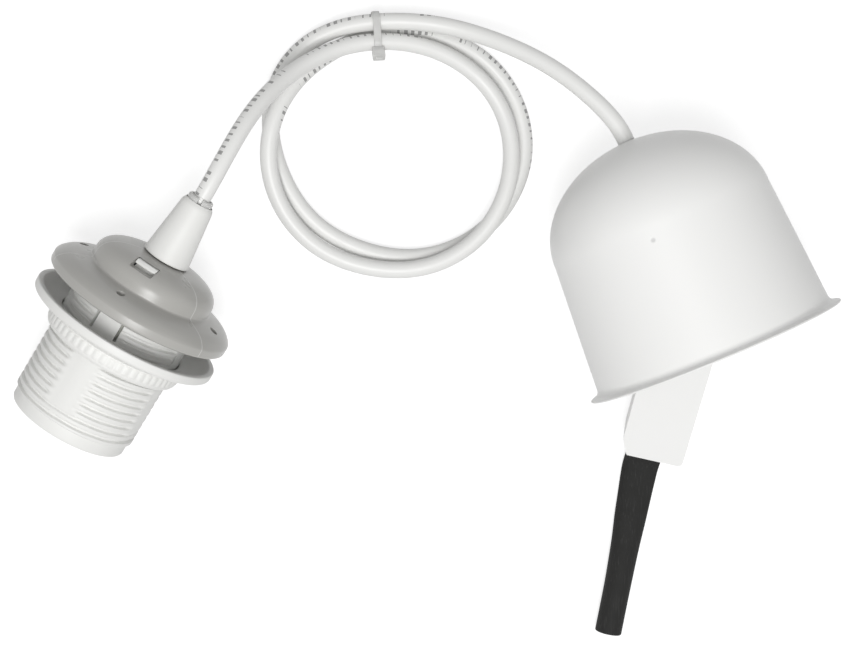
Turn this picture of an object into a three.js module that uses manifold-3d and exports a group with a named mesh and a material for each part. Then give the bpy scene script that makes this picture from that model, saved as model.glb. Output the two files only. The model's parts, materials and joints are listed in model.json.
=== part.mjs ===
// Pendant cord set: an E27 lamp holder with a clamping ring for a shade, a ceiling rose with its
// terminal box, and the round cord between them, laid down in two tied loops.
// Millimetres, +Z up. The set lies on the plane z = 0, with its origin under the middle of its box.

import * as THREE from "three";
import Module from "manifold-3d";
import { NURBSCurve } from "three/addons/curves/NURBSCurve.js";
import { mergeVertices } from "three/addons/utils/BufferGeometryUtils.js";

// Fit
const GAP = 0.3; // between pieces that touch

// Where the two ends of the set lie: a point on the axis, its heading in the plane and its rise
const HOLDER_PLACE = [-110.5, -5.58];
const HOLDER_HEADING = 59.1;
const HOLDER_RISE = 9.6;
const ROSE_PLACE = [88, 15.19];
const ROSE_HEADING = 112.3;
const ROSE_LEAN = 7.76; // at which it rests on its rim and its shoulder

// Cord
const CORD_DIAMETER = 5.4;
const CORD_SIDES = 8;
const CORD_STEPS = 78;
const CORD_STRAIGHT = 6; // keeps the axis of the grip this far
const CONDUCTOR_DIAMETER = 2.1;
const CONDUCTOR_SPREAD = 1.3; // of a conductor's centre from the cord's

// Threaded sleeve of the holder, measured from its open lip
const THREAD_CREST_RADIUS = 19.75;
const THREAD_DEPTH = 0.9;
const THREAD_PITCH = 2.5;
const THREAD_STEPS = 24; // a turn
const GROOVE_MOUTH = 1.45;
const GROOVE_ROOT = 0.7;
const SLEEVE_WALL = 1.95; // under the thread
const LIP_HEIGHT = 4;
const SLEEVE_HEIGHT = 48.2;
const NECK_STEP = 1.9; // from the thread's crest in to the neck
const NECK_HEIGHT = 2.4;
const LEDGE_PLACE = 13;
const LEDGE_THICKNESS = 1.6;
const LEDGE_REACH = 2.3;
const PANEL_ANGLE = 73.7; // of the first of the smooth panels
const PANEL_COUNT = 4;
const PANEL_SPAN = 24.8; // degrees
const PANEL_DROP = 0.4; // below the crest
const SLIT_WIDTH = 0.9;
const SLIT_PLACE = 34.6;

// Snap tongues: two of the panels reach up into the cap's windows
const TONGUE_THICKNESS = 1.2;
const TONGUE_WIDTH = 7;
const NOSE_HEIGHT = 2.5;
const NOSE_REACH = 1.4;

// Cap of the holder
const CAP_WALL = 1.8;
const CAP_RADIUS = 29.7;
const CAP_SKIRT = 5.6; // from the flange's inside down to the edge
const CAP_EDGE_STEP = 0.5; // of the skirt's foot and the flange's edge
const FLANGE_FALL = 2;
const DOME_FOOT = 0.9;
const DOME_HEIGHT = 8.45;
const DOME_POWER = 3; // of the superellipse that the dome follows
const CAP_NECK_WALL = 0.85;
const CAP_NECK_HEIGHT = 8;
const WINDOW_HEIGHT = 3.2;
const VENT_DIAMETER = 2.8;
const VENT_CIRCLE = 24;

// Shade ring that runs on the sleeve's thread
const RING_PLACE = 26.3;
const RING_RADIUS = 30.1;
const RING_RIM = 2.5;
const RING_COLLAR_WALL = 2.15;
const RING_COLLAR_HEIGHT = 4.7;
const RING_DISH_HEIGHT = 10.35;
const RING_WEB = 1.6;
const KNURL_COUNT = 96;
const KNURL_DEPTH = 0.4;
const KNURL_HEIGHT = 3.2;

// Cord grip on top of the cap: a tapered nut over a split collet
const CONE_HEIGHT = 19.9;
const CONE_BASE_RADIUS = 7.41;
const CONE_TOP_RADIUS = 5.15;
const CONE_SHOULDER = 1;
const COLLET_WALL = 1.05;
const COLLET_REACH = 1.6;
const COLLET_FOOT = 2.35; // above the dome's top
const COLLET_SLIT = 1.4;

// Insert of the holder, with the lamp's screw shell and contacts
const INSERT_FLOOR_PLACE = 36.5;
const INSERT_FLOOR = 8.4;
const SHELL_RADIUS = 13.9;
const SHELL_WALL = 0.4;
const SHELL_WAVE = 0.6; // half the depth of its rounded thread
const SHELL_PITCH = 3.63;
const SHELL_TURNS = 3.25;
const SHELL_STEPS = 16; // a turn
const SHELL_PLACE = 16.2;
const SHELL_FLOOR_HOLE = 8;
const CONTACT_WIDTH = 4.6;
const CONTACT_THICKNESS = 0.5;
const CONTACT_RISE = 5;
const CONTACT_BEND = 1.2;
const CLAMP_SIZE = [5, 6, 5];
const CLAMP_BORE = 2; // down for the wire
const CLAMP_SPREAD = 7.5;
const CLAMP_SCREW_DIAMETER = 3.6;
const CLAMP_SCREW_HEAD = 1.5;
const SCREW_SLOT = 0.7;

// Ceiling rose, measured from its rim
const ROSE_WALL = 1.6;
const ROSE_RIM_RADIUS = 41.43;
const ROSE_RIM_THICKNESS = 1;
const ROSE_RIM_EDGE = 0.3;
const ROSE_FOOT_RADIUS = 38.37;
const ROSE_SHOULDER_RADIUS = 35.44;
const ROSE_SHOULDER_PLACE = 42.8;
const ROSE_DOME_HEIGHT = 27.66;
const ROSE_BOSS_HEIGHT = 10;
const BUSH_WALL = 1.4;
const BOSS_WALL = 1.6;
const BUSH_HEIGHT = 6.4;

// Hanging plate on the cord, inside the rose
const TAIL_LENGTH = 36;
const PLATE_SIZE = [18, 3, 31];
const PLATE_TOP = 57;
const EYE_DIAMETER = 9;
const SADDLE_WALL = 1.8;
const SADDLE_LENGTH = 8;
const SADDLE_DROP = 2; // below the plate's top
const SADDLE_FOOT = 16.6;
const SADDLE_SCREW_DIAMETER = 2.6;
const SADDLE_SCREW_HEAD = 1.4;

// Terminal box under the rose
const BOX_FROM_ROSE = [-9.4, -34.03]; // the box's outer end, from the rose's centre
const BOX_HEADING = -95.8;
const BOX_DIP = 30.6; // its inner end leans on the rose's rim
const BOX_ROLL = -13; // it stands on one corner of its outer end
const BOX_WIDTH = 20.8;
const BOX_LENGTH = 46;
const BOX_THICKNESS = 10.5;
const BOX_WALL = 1.4;
const BOX_LID = 1.6;
const BOX_CORNER = 1.5;
const BOX_BEVEL = [2, 6]; // of the outer corner at one side
const STRIP_SIZE = [16, 19, 6];
const STRIP_PLACE = 17;
const BARREL_DIAMETER = 4.4;
const BARREL_BORE = 2.6;
const BARREL_SPREAD = 4;
const TERMINAL_SCREW_DIAMETER = 2.4;
const TERMINAL_SCREW_SPREAD = 5;

// Heat-proof sleeve from the box to the mains
const TUBE_DIAMETER = 8.8;
const TUBE_WALL = 0.9;
const TUBE_HEADING = -101;
const TUBE_LENGTH = 65;
const TUBE_INSIDE = 3; // of its length, within the box
const TUBE_FLAT_WIDTH = 12;
const TUBE_FLAT_HEIGHT = 4.2;
const TUBE_STEPS = 14;
const TUBE_FALL = 8; // of its length, before it lies on the plane
const TUBE_SIDE = 1.7; // of the box's middle line

// Cable tie round the three strands
const TIE_PLACE = [-13.1, 114.2];
const TIE_HEADING = 3;
const TIE_WIDTH = 2.4;
const TIE_THICKNESS = 1;
const TIE_HEAD = [4.2, 4.6, 3.6];
const TIE_TAIL = 2;
const TIE_SLACK = 0.45;
const TIE_REACH = 20; // within which a strand belongs to the bundle
const CORD_SAMPLES = 1500;

// Facets of round pieces, and the size below which an edge is dropped
const SLIVER = 0.01;
const FINE = 36;
const ROUND = 24;
const COARSE = 16;
const SMALL = 8;

// The cord's route from the holder to the rose: two loops, each crossing over what lies under it
const LYING = CORD_DIAMETER / 2;
const LOOP_ROUTE = [
  [-60, 80, 36.5], [-51.5, 92.5, 28.5], [-40.5, 102, 17.5], [-26, 110, 10.4], [-8, 112.2, 10.1],
  [9.5, 108, 8], [24, 97, 4.5], [31, 80.5, 6.5], [28.5, 62, 9.5], [18.5, 47, 8.5],
  [2, 38.5, 8], [-16.5, 39, 7], [-33.5, 45.5, 6], [-45.5, 59.5, 6.5], [-49.5, 77.5, 9.5],
  [-44, 94.5, 9], [-31.5, 106.5, 3.5], [-15, 114.5, 4.9], [3, 115, 4.2], [20.5, 109, LYING],
  [32.5, 95.5, LYING], [36.5, 77, LYING], [30.5, 59.5, LYING], [17.5, 47, LYING],
  [0, 41.5, LYING], [-18, 44.5, LYING], [-34, 53, LYING], [-44, 68, LYING],
  [-48.5, 86.5, LYING], [-43.5, 104.5, LYING], [-29.5, 115.5, 6], [-11.5, 118, 10.4],
  [6.5, 117, 10.6], [22.5, 112, 16], [38, 104.5, 23], [50.5, 94.5, 28.5],
];

const COLOURS = {
  white: 0xececea,
  ivory: 0xdededa,
  grey: 0xa5a5a0,
  cord: 0xe8e8e6,
  frosted: 0xcfcfcd,
  brass: 0xb9923f,
  steel: 0xb8bcc0,
  black: 0x2e2e2c,
  brown: 0x6b3f22,
  blue: 0x2f62a8,
};

const wasm = await Module();
wasm.setup();

const radians = THREE.MathUtils.degToRad;
const point = (x, y) => new THREE.Vector2(x, y);
const upright = (geometry) => geometry.rotateX(Math.PI / 2);

// A closed geometry as a solid that can be joined and cut.
function solidOf(geometry) {
  const bare = geometry.index ? geometry.toNonIndexed() : geometry.clone();
  bare.deleteAttribute("normal");
  bare.deleteAttribute("uv");
  const merged = mergeVertices(bare, 1e-3);
  const triVerts = [];
  const corners = merged.index.array;
  for (let i = 0; i < corners.length; i += 3) {
    const [a, b, c] = corners.slice(i, i + 3);
    if (a !== b && b !== c && c !== a) triVerts.push(a, b, c);
  }
  return new wasm.Manifold(
    new wasm.Mesh({
      numProp: 3,
      vertProperties: merged.attributes.position.array,
      triVerts: new Uint32Array(triVerts),
    }),
  );
}

// A profile of [radius, height] points, listed anticlockwise, turned about the Z axis.
function turned(profile, segments) {
  const points = profile.map(([r, z]) => point(r, z));
  if (points[0].x > 0 || points.at(-1).x > 0) points.push(points[0].clone());
  return solidOf(upright(new THREE.LatheGeometry(points, segments)));
}

function drum(radius, from, to, segments) {
  return turned([[0, from], [radius, from], [radius, to], [0, to]], segments);
}

// A block given by its lowest and highest corners, turned about Z by an angle in degrees.
function block([x0, y0, z0], [x1, y1, z1], angle = 0) {
  const box = new THREE.BoxGeometry(x1 - x0, y1 - y0, z1 - z0);
  box.translate((x0 + x1) / 2, (y0 + y1) / 2, (z0 + z1) / 2).rotateZ(radians(angle));
  return solidOf(box);
}

function extruded(shape, depth, segments = SMALL) {
  return new THREE.ExtrudeGeometry(shape, { depth, bevelEnabled: false, curveSegments: segments });
}

// A part of a ring seen from above, between two angles.
function sector(inner, outer, from, to, low, high, segments) {
  const shape = new THREE.Shape();
  shape.absarc(0, 0, outer, radians(from), radians(to), false);
  shape.absarc(0, 0, inner, radians(to), radians(from), true);
  return solidOf(extruded(shape, high - low, segments).translate(0, 0, low));
}

// A helix about Z whose frames keep pointing straight out from the axis.
class Helix extends THREE.Curve {
  constructor(radius, pitch, turns, start) {
    super();
    Object.assign(this, { radius, pitch, turns, start });
  }

  angle(t) {
    return 2 * Math.PI * this.turns * t;
  }

  getPoint(t, target = new THREE.Vector3()) {
    const a = this.angle(t);
    const height = this.start + this.pitch * this.turns * t;
    return target.set(this.radius * Math.cos(a), this.radius * Math.sin(a), height);
  }

  computeFrenetFrames(segments) {
    const frames = { tangents: [], normals: [], binormals: [] };
    for (let i = 0; i <= segments; i++) {
      const a = this.angle(i / segments);
      frames.tangents.push(new THREE.Vector3(-Math.sin(a), Math.cos(a), 0));
      frames.normals.push(new THREE.Vector3(Math.cos(a), Math.sin(a), 0));
      frames.binormals.push(new THREE.Vector3(0, 0, -1));
    }
    return frames;
  }
}

// A profile of [outward, upward] points swept along a helix.
function coiled(profile, radius, pitch, turns, start, stepsPerTurn) {
  const shape = new THREE.Shape(profile.map(([out, up]) => point(out, -up)));
  const steps = Math.round(turns * stepsPerTurn);
  const extrudePath = new Helix(radius, pitch, steps / stepsPerTurn, start);
  return solidOf(new THREE.ExtrudeGeometry(shape, { extrudePath, steps }));
}

// A round bar or wire along a curve.
function bar(curve, radius, steps, sides) {
  const section = new THREE.Shape();
  for (let i = 0; i < sides; i++) {
    const a = (2 * Math.PI * (i + 0.5)) / sides;
    section[i ? "lineTo" : "moveTo"](radius * Math.cos(a), radius * Math.sin(a));
  }
  return solidOf(new THREE.ExtrudeGeometry(section, { extrudePath: curve, steps }));
}

function piece(name, solid, color, roughness, metalness = 0) {
  const { vertProperties, triVerts } = solid.getMesh();
  const geometry = new THREE.BufferGeometry();
  geometry.setAttribute("position", new THREE.BufferAttribute(vertProperties, 3));
  geometry.setIndex(new THREE.BufferAttribute(triVerts, 1));
  geometry.computeVertexNormals();
  const mesh = new THREE.Mesh(
    geometry,
    new THREE.MeshStandardMaterial({ color, roughness, metalness }),
  );
  mesh.name = name;
  return mesh;
}

// A group whose Z is an axis with a heading in the plane and a rise, both in degrees,
// and whose Y leans as far up as it can.
function axisGroup([x, y, z], heading, rise) {
  const h = radians(heading);
  const r = radians(rise);
  const axis = new THREE.Vector3(
    Math.cos(h) * Math.cos(r), Math.sin(h) * Math.cos(r), Math.sin(r),
  );
  const side = new THREE.Vector3(-Math.sin(h), Math.cos(h), 0);
  const up = new THREE.Vector3().crossVectors(axis, side);
  const group = new THREE.Group();
  group.quaternion.setFromRotationMatrix(new THREE.Matrix4().makeBasis(side, up, axis));
  group.position.set(x, y, z);
  group.updateMatrixWorld(true);
  return group;
}

// How high a profile's axis origin must be for it to rest on the plane with that rise.
function restingHeight(profile, rise) {
  const tilt = radians(rise);
  return Math.max(...profile.map(([r, z]) => r * Math.cos(tilt) - z * Math.sin(tilt)));
}

// Sizes that follow from the driving ones
const cordBore = CORD_DIAMETER / 2 + GAP;
const threadRoot = THREAD_CREST_RADIUS - THREAD_DEPTH;
const sleeveBore = threadRoot - SLEEVE_WALL;
const neckRadius = THREAD_CREST_RADIUS - NECK_STEP;
const neckTop = SLEEVE_HEIGHT + NECK_HEIGHT;
const domeBore = neckRadius + GAP;
const domeRadius = domeBore + CAP_WALL;
const flangeInside = SLEEVE_HEIGHT + GAP;
const domeFoot = flangeInside + CAP_WALL + DOME_FOOT;
const domeTop = domeFoot + DOME_HEIGHT;
const windowTop = domeTop - 0.5;
const capNeckTop = domeTop + CAP_NECK_HEIGHT;
const colletRadius = cordBore + COLLET_WALL;
const capNeckBore = colletRadius + GAP;
const capNeckRadius = capNeckBore + CAP_NECK_WALL;
const coneFoot = domeTop + GAP;
const coneTop = coneFoot + CONE_HEIGHT;
const colletFoot = domeTop + COLLET_FOOT;
const colletTop = coneTop + COLLET_REACH;
const leadFoot = colletFoot - 4; // where the cord's sheath ends
const insertRadius = sleeveBore - GAP;
const insertFoot = LEDGE_PLACE + LEDGE_THICKNESS + GAP;
const insertTop = INSERT_FLOOR_PLACE + INSERT_FLOOR;
const shellBore = SHELL_RADIUS + GAP;
const shellFloor = INSERT_FLOOR_PLACE - 2.3;
const ringBore = THREAD_CREST_RADIUS + GAP;
const collar = ringBore + RING_COLLAR_WALL;
const collarTop = RING_PLACE + RING_COLLAR_HEIGHT;
const roseTop = ROSE_SHOULDER_PLACE + ROSE_DOME_HEIGHT;

// How far out the dome of the cap, or its inside, lies at a height.
function domeReach(height, radius, foot, rise) {
  const up = Math.min(Math.max((height - foot) / rise, 0), 1);
  return radius * (1 - up ** DOME_POWER) ** (1 / DOME_POWER);
}

function domeProfile(radius, foot, rise, innermost) {
  const profile = [];
  for (const share of [0, 0.36, 0.64, 0.83, 0.95]) {
    const height = foot + rise * share;
    const reach = domeReach(height, radius, foot, rise);
    if (reach > innermost) profile.push([reach, height]);
  }
  return profile;
}

// The holder's outer sleeve: lip, coarse thread broken by smooth panels, ledge and tongues
function threadedSleeve() {
  const blank = turned(
    [
      [sleeveBore + 0.4, 0], [threadRoot - 0.5, 0], [threadRoot, 0.5],
      [threadRoot, SLEEVE_HEIGHT], [neckRadius, SLEEVE_HEIGHT], [neckRadius, neckTop],
      [sleeveBore, neckTop], [sleeveBore, LEDGE_PLACE + LEDGE_THICKNESS],
      [sleeveBore - LEDGE_REACH, LEDGE_PLACE + LEDGE_THICKNESS],
      [sleeveBore - LEDGE_REACH, LEDGE_PLACE + LEDGE_THICKNESS / 2],
      [sleeveBore, LEDGE_PLACE], [sleeveBore, 0.4],
    ],
    ROUND,
  );
  let body = blank.add(threadRibs());
  for (let i = 0; i < PANEL_COUNT; i++) {
    const middle = PANEL_ANGLE + (360 / PANEL_COUNT) * i;
    body = body.add(
      sector(
        sleeveBore + SLEEVE_WALL / 2, THREAD_CREST_RADIUS - PANEL_DROP,
        middle - PANEL_SPAN / 2, middle + PANEL_SPAN / 2, LIP_HEIGHT, SLEEVE_HEIGHT, 4,
      ),
    );
    if (i % 2 === 0) body = body.add(tongue(middle));
    for (const side of [-1, 1]) {
      const slit = block(
        [sleeveBore - 1, -SLIT_WIDTH / 2, SLIT_PLACE],
        [THREAD_CREST_RADIUS + 1, SLIT_WIDTH / 2, neckTop + 1],
        middle + (side * PANEL_SPAN) / 2,
      );
      body = body.subtract(slit);
    }
  }
  return body.simplify(SLIVER);
}

function threadRibs() {
  const ring = turned(
    [
      [threadRoot - SLEEVE_WALL / 2, LIP_HEIGHT], [threadRoot, LIP_HEIGHT],
      [THREAD_CREST_RADIUS, LIP_HEIGHT + THREAD_DEPTH / 2], [THREAD_CREST_RADIUS, SLEEVE_HEIGHT],
      [threadRoot - SLEEVE_WALL / 2, SLEEVE_HEIGHT],
    ],
    ROUND,
  );
  const turns = (SLEEVE_HEIGHT - LIP_HEIGHT) / THREAD_PITCH;
  const over = 0.25; // past the crest and below the root, so that the cutter clears both
  const slope = (GROOVE_MOUTH - GROOVE_ROOT) / 2 / THREAD_DEPTH;
  const mouth = GROOVE_MOUTH / 2 + over * slope;
  const root = GROOVE_ROOT / 2 - over * slope;
  const floor = -THREAD_DEPTH - over;
  const cutter = coiled(
    [[over, -mouth], [over, mouth], [floor, root], [floor, -root]],
    THREAD_CREST_RADIUS, THREAD_PITCH, turns, LIP_HEIGHT + THREAD_PITCH / 2, THREAD_STEPS,
  );
  let ribs = ring.subtract(cutter);
  for (let i = 0; i < PANEL_COUNT; i++) {
    const middle = PANEL_ANGLE + (360 / PANEL_COUNT) * i;
    ribs = ribs.subtract(
      sector(
        threadRoot, THREAD_CREST_RADIUS + 1, middle - PANEL_SPAN / 2, middle + PANEL_SPAN / 2,
        LIP_HEIGHT - 1, SLEEVE_HEIGHT + 1, 4,
      ),
    );
  }
  return ribs.simplify(SLIVER);
}

// A springy tongue that runs on from the neck, bends in under the dome and ends in a nose
function tongue(angle) {
  const sill = windowTop - WINDOW_HEIGHT + GAP;
  const strip = domeReach(sill, domeBore, domeFoot, DOME_HEIGHT - CAP_WALL) - 2 * GAP;
  const root = Math.sqrt(neckRadius ** 2 - (TONGUE_WIDTH / 2) ** 2);
  const inside = -TONGUE_THICKNESS;
  const outline = new THREE.Shape([
    point(root + inside, neckTop - 2), point(root, neckTop - 2), point(root, domeFoot),
    point(strip, sill), point(strip + NOSE_REACH, sill),
    point(strip + 0.8 * NOSE_REACH, sill + NOSE_HEIGHT), point(strip + inside, sill + NOSE_HEIGHT),
    point(strip + inside, sill - 0.5), point(root + inside, domeFoot - 0.6),
  ]);
  const flat = upright(extruded(outline, TONGUE_WIDTH));
  return solidOf(flat.translate(0, TONGUE_WIDTH / 2, 0).rotateZ(radians(angle)));
}

// The cap: skirt, flange, dome and the neck that carries the cord grip
function holderCap() {
  const rise = DOME_HEIGHT - CAP_WALL;
  const skirtFoot = flangeInside - CAP_SKIRT;
  const flangeTop = flangeInside + CAP_WALL;
  const edge = flangeTop - 2 * FLANGE_FALL; // the crease between the skirt and the flange
  const shell = turned(
    [
      [CAP_RADIUS - CAP_WALL, skirtFoot], [CAP_RADIUS - CAP_EDGE_STEP, skirtFoot],
      [CAP_RADIUS, skirtFoot + CAP_EDGE_STEP], [CAP_RADIUS, edge - CAP_EDGE_STEP],
      [CAP_RADIUS - CAP_EDGE_STEP, edge + CAP_EDGE_STEP / 2],
      [CAP_RADIUS - CAP_WALL, flangeTop - FLANGE_FALL - CAP_EDGE_STEP],
      [CAP_RADIUS - 2 * CAP_WALL, flangeTop - 0.75 * FLANGE_FALL],
      [domeRadius + 0.6, flangeTop], [domeRadius, flangeTop + 0.4],
      ...domeProfile(domeRadius, domeFoot, DOME_HEIGHT, CONE_BASE_RADIUS),
      [CONE_BASE_RADIUS, domeTop], [capNeckRadius, domeTop], [capNeckRadius, capNeckTop],
      [capNeckBore, capNeckTop], [capNeckBore, domeTop - CAP_WALL],
      ...domeProfile(domeBore, domeFoot, rise, capNeckBore).reverse(),
      [domeBore, flangeInside], [THREAD_CREST_RADIUS + 2 * GAP, flangeInside],
      [CAP_RADIUS - 1.3 * CAP_WALL, flangeInside - FLANGE_FALL],
      [CAP_RADIUS - CAP_WALL, flangeInside - 1.4 * FLANGE_FALL],
    ],
    FINE,
  );
  let cap = shell;
  const windowWidth = TONGUE_WIDTH + 2 * GAP;
  for (let i = 0; i < PANEL_COUNT; i++) {
    const angle = PANEL_ANGLE + (360 / PANEL_COUNT) * i;
    const vent = drum(VENT_DIAMETER / 2, flangeInside - FLANGE_FALL - 2, domeTop, SMALL);
    const turn = radians(angle);
    const place = [VENT_CIRCLE * Math.cos(turn), VENT_CIRCLE * Math.sin(turn), 0];
    cap = cap.subtract(vent.translate(place));
    if (i % 2 === 0)
      cap = cap.subtract(
        block(
          [capNeckRadius + 4.5, -windowWidth / 2, windowTop - WINDOW_HEIGHT],
          [domeRadius + 1, windowWidth / 2, windowTop], angle,
        ),
      );
  }
  return cap;
}

// The ring that clamps a shade against the cap: knurled collar, dished web and rim
function ringProfile() {
  const rimTop = RING_PLACE + RING_DISH_HEIGHT;
  const rimFoot = rimTop - RING_RIM;
  const middle = (collar + RING_RADIUS) / 2;
  return [
    [ringBore, RING_PLACE], [collar - 1, RING_PLACE], [collar - 0.3, RING_PLACE + 0.5],
    [collar - KNURL_DEPTH, RING_PLACE + 1.2], [collar - KNURL_DEPTH, collarTop],
    [collar + 0.9, collarTop + 0.6], [middle, collarTop + 1.7],
    [RING_RADIUS - 0.6, rimFoot - 0.5], [RING_RADIUS, rimFoot + 0.1],
    [RING_RADIUS, rimTop - 0.4], [RING_RADIUS - 0.4, rimTop], [RING_RADIUS - 1.2, rimTop],
    [RING_RADIUS - 1.7, rimTop - 0.4], [middle, collarTop + 1.7 + RING_WEB],
    [collar + 0.3, collarTop + 0.5 + RING_WEB], [ringBore, collarTop + 0.3 + RING_WEB],
  ];
}

function shadeRing() {
  const body = turned(ringProfile(), FINE);
  const outline = new THREE.Shape();
  const steps = 2 * KNURL_COUNT;
  for (let i = 0; i < steps; i++) {
    const radius = collar - (i % 2 ? KNURL_DEPTH : 0);
    const angle = (2 * Math.PI * i) / steps;
    outline[i ? "lineTo" : "moveTo"](radius * Math.cos(angle), radius * Math.sin(angle));
  }
  const hole = new THREE.Path().absarc(0, 0, collar - 2 * KNURL_DEPTH, 0, 2 * Math.PI);
  outline.holes.push(hole);
  const knurls = extruded(outline, KNURL_HEIGHT).translate(0, 0, collarTop - KNURL_HEIGHT - 0.2);
  return body.add(solidOf(knurls));
}

function gripCone() {
  const bore = colletRadius + GAP;
  const socket = capNeckRadius + GAP;
  return turned(
    [
      [socket, coneFoot], [CONE_BASE_RADIUS, coneFoot], [CONE_TOP_RADIUS, coneTop - CONE_SHOULDER],
      [CONE_TOP_RADIUS - 0.15, coneTop - 0.5 * CONE_SHOULDER],
      [CONE_TOP_RADIUS - 0.5, coneTop], [bore, coneTop], [bore, capNeckTop + 1.5],
      [socket, capNeckTop + GAP],
    ],
    ROUND,
  );
}

// The collet: a ring in the cap's neck with two jaws that close on the cord
function gripCollet() {
  const sleeve = turned(
    [
      [cordBore, colletFoot], [colletRadius, colletFoot], [colletRadius, colletTop - 0.5],
      [colletRadius - 0.4, colletTop], [cordBore, colletTop],
    ],
    COARSE,
  );
  const slit = block(
    [-COLLET_SLIT / 2, -colletRadius - 1, colletFoot + 4],
    [COLLET_SLIT / 2, colletRadius + 1, colletTop + 1],
  );
  return sleeve.subtract(slit);
}

// The insert: a cup round the screw shell, with a thick floor for the clamps
function holderInsert() {
  const cup = turned(
    [
      [shellBore, insertFoot], [insertRadius, insertFoot], [insertRadius, insertTop],
      [0, insertTop], [0, INSERT_FLOOR_PLACE], [shellBore, INSERT_FLOOR_PLACE],
    ],
    ROUND,
  );
  let insert = cup;
  for (const side of [-1, 1]) {
    const hole = drum(1.2, INSERT_FLOOR_PLACE - 1, insertTop + 1, SMALL);
    insert = insert.subtract(hole.translate([side * CLAMP_SPREAD * 0.5, 4.5, 0]));
  }
  return insert;
}

// The screw shell: a rounded thread rolled in sheet, closed at its end round a wide hole
function screwShell() {
  const waves = 4; // samples over one pitch
  const lap = 0.08;
  const centre = SHELL_RADIUS - SHELL_WALL / 2 - SHELL_WAVE;
  const line = (offset) =>
    Array.from({ length: waves + 1 }, (_, i) => {
      const share = i / waves;
      const up = (share - 0.5) * (SHELL_PITCH + lap);
      return [SHELL_WAVE * Math.cos(2 * Math.PI * share) + offset, up];
    });
  const profile = [...line(SHELL_WALL / 2), ...line(-SHELL_WALL / 2).reverse()];
  const start = SHELL_PLACE + SHELL_PITCH / 2;
  const thread = coiled(profile, centre, SHELL_PITCH, SHELL_TURNS, start, SHELL_STEPS);
  const bandFoot = SHELL_PLACE + SHELL_PITCH * (SHELL_TURNS + 0.35);
  const base = turned(
    [
      [SHELL_RADIUS - SHELL_WALL, bandFoot], [SHELL_RADIUS, bandFoot],
      [SHELL_RADIUS, shellFloor], [SHELL_FLOOR_HOLE, shellFloor],
      [SHELL_FLOOR_HOLE, shellFloor - SHELL_WALL], [SHELL_RADIUS - SHELL_WALL, shellFloor - SHELL_WALL],
    ],
    ROUND,
  );
  return thread.add(base);
}

// A strip bent in its own plane and as wide as a contact
function bentStrip(points) {
  const strip = upright(extruded(new THREE.Shape(points.map(([x, z]) => point(x, z))), CONTACT_WIDTH));
  return solidOf(strip.translate(0, CONTACT_WIDTH / 2, 0));
}

function centreContact() {
  const foot = INSERT_FLOOR_PLACE - GAP;
  const t = CONTACT_THICKNESS;
  return bentStrip([
    [-6.5, foot - t], [-2.5, foot - t], [0.8, foot - CONTACT_RISE], [2.2, foot - CONTACT_RISE],
    [3.6, foot - CONTACT_RISE + 1.4], [3.2, foot - CONTACT_RISE + 1.7],
    [2, foot - CONTACT_RISE + t], [1.1, foot - CONTACT_RISE + t], [-2.2, foot], [-6.5, foot],
  ]);
}

function sideContact() {
  const foot = INSERT_FLOOR_PLACE - GAP;
  const seat = shellFloor + GAP;
  const t = CONTACT_THICKNESS;
  const [inner, b] = [SHELL_FLOOR_HOLE, CONTACT_BEND];
  const end = inner + CONTACT_WIDTH;
  return bentStrip([
    [inner - 1.5 * b, foot - t], [inner + 0.5 * b, foot - t], [inner + 1.5 * b, seat], [end, seat],
    [end, seat + t], [inner + 1.75 * b, seat + t], [inner + 0.75 * b, foot], [inner - 1.5 * b, foot],
  ]);
}

// A clamp block on the insert, bored from the side for its screw and from above for its wire
function clampBlock(side) {
  const [w, d, h] = CLAMP_SIZE;
  const x = side * CLAMP_SPREAD;
  const foot = insertTop + GAP;
  const body = block([x - w / 2, -d / 2, foot], [x + w / 2, d / 2, foot + h]);
  const screwHole = new THREE.CylinderGeometry(
    CLAMP_SCREW_DIAMETER / 4 + GAP, CLAMP_SCREW_DIAMETER / 4 + GAP, 0.6 * d, SMALL,
  ).translate(x, -d / 2, foot + h / 2);
  const wireHole = drum(CONDUCTOR_DIAMETER / 2 + GAP, foot + h - CLAMP_BORE, foot + h + 1, SMALL);
  return body.subtract(solidOf(screwHole)).subtract(wireHole.translate([x, 0, 0]));
}

// A slotted screw along +Y: head outside, shank in its hole
function slottedScrew(headDiameter, headHeight, shankLength) {
  const r = headDiameter / 2;
  const screw = solidOf(
    new THREE.LatheGeometry(
      [[0, -headHeight], [r, -headHeight], [r, 0], [r / 2, 0], [r / 2, shankLength], [0, shankLength]]
        .map(([x, y]) => point(x, y)),
      SMALL,
    ),
  );
  const slot = new THREE.BoxGeometry(headDiameter + 1, headHeight, SCREW_SLOT);
  return screw.subtract(solidOf(slot.translate(0, -headHeight, 0)));
}

function clampScrew(side) {
  const place = [side * CLAMP_SPREAD, -CLAMP_SIZE[1] / 2 - GAP, insertTop + GAP + CLAMP_SIZE[2] / 2];
  return slottedScrew(CLAMP_SCREW_DIAMETER, CLAMP_SCREW_HEAD, 0.25 * CLAMP_SIZE[1]).translate(place);
}

const spline = (points) => new THREE.CatmullRomCurve3(points.map((p) => new THREE.Vector3(...p)));

function holderLead(side) {
  const out = side * CONDUCTOR_SPREAD;
  const clampTop = insertTop + GAP + CLAMP_SIZE[2];
  const drop = leadFoot - clampTop;
  const route = [
    [out, 0, leadFoot], [1.1 * out, 0, leadFoot - 0.2 * drop],
    [side * CLAMP_SPREAD * 0.8, 0, leadFoot - 0.58 * drop],
    [side * CLAMP_SPREAD, 0, clampTop + 0.4], [side * CLAMP_SPREAD, 0, clampTop + GAP - CLAMP_BORE],
  ];
  return bar(spline(route), CONDUCTOR_DIAMETER / 2, 10, 8);
}

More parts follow.
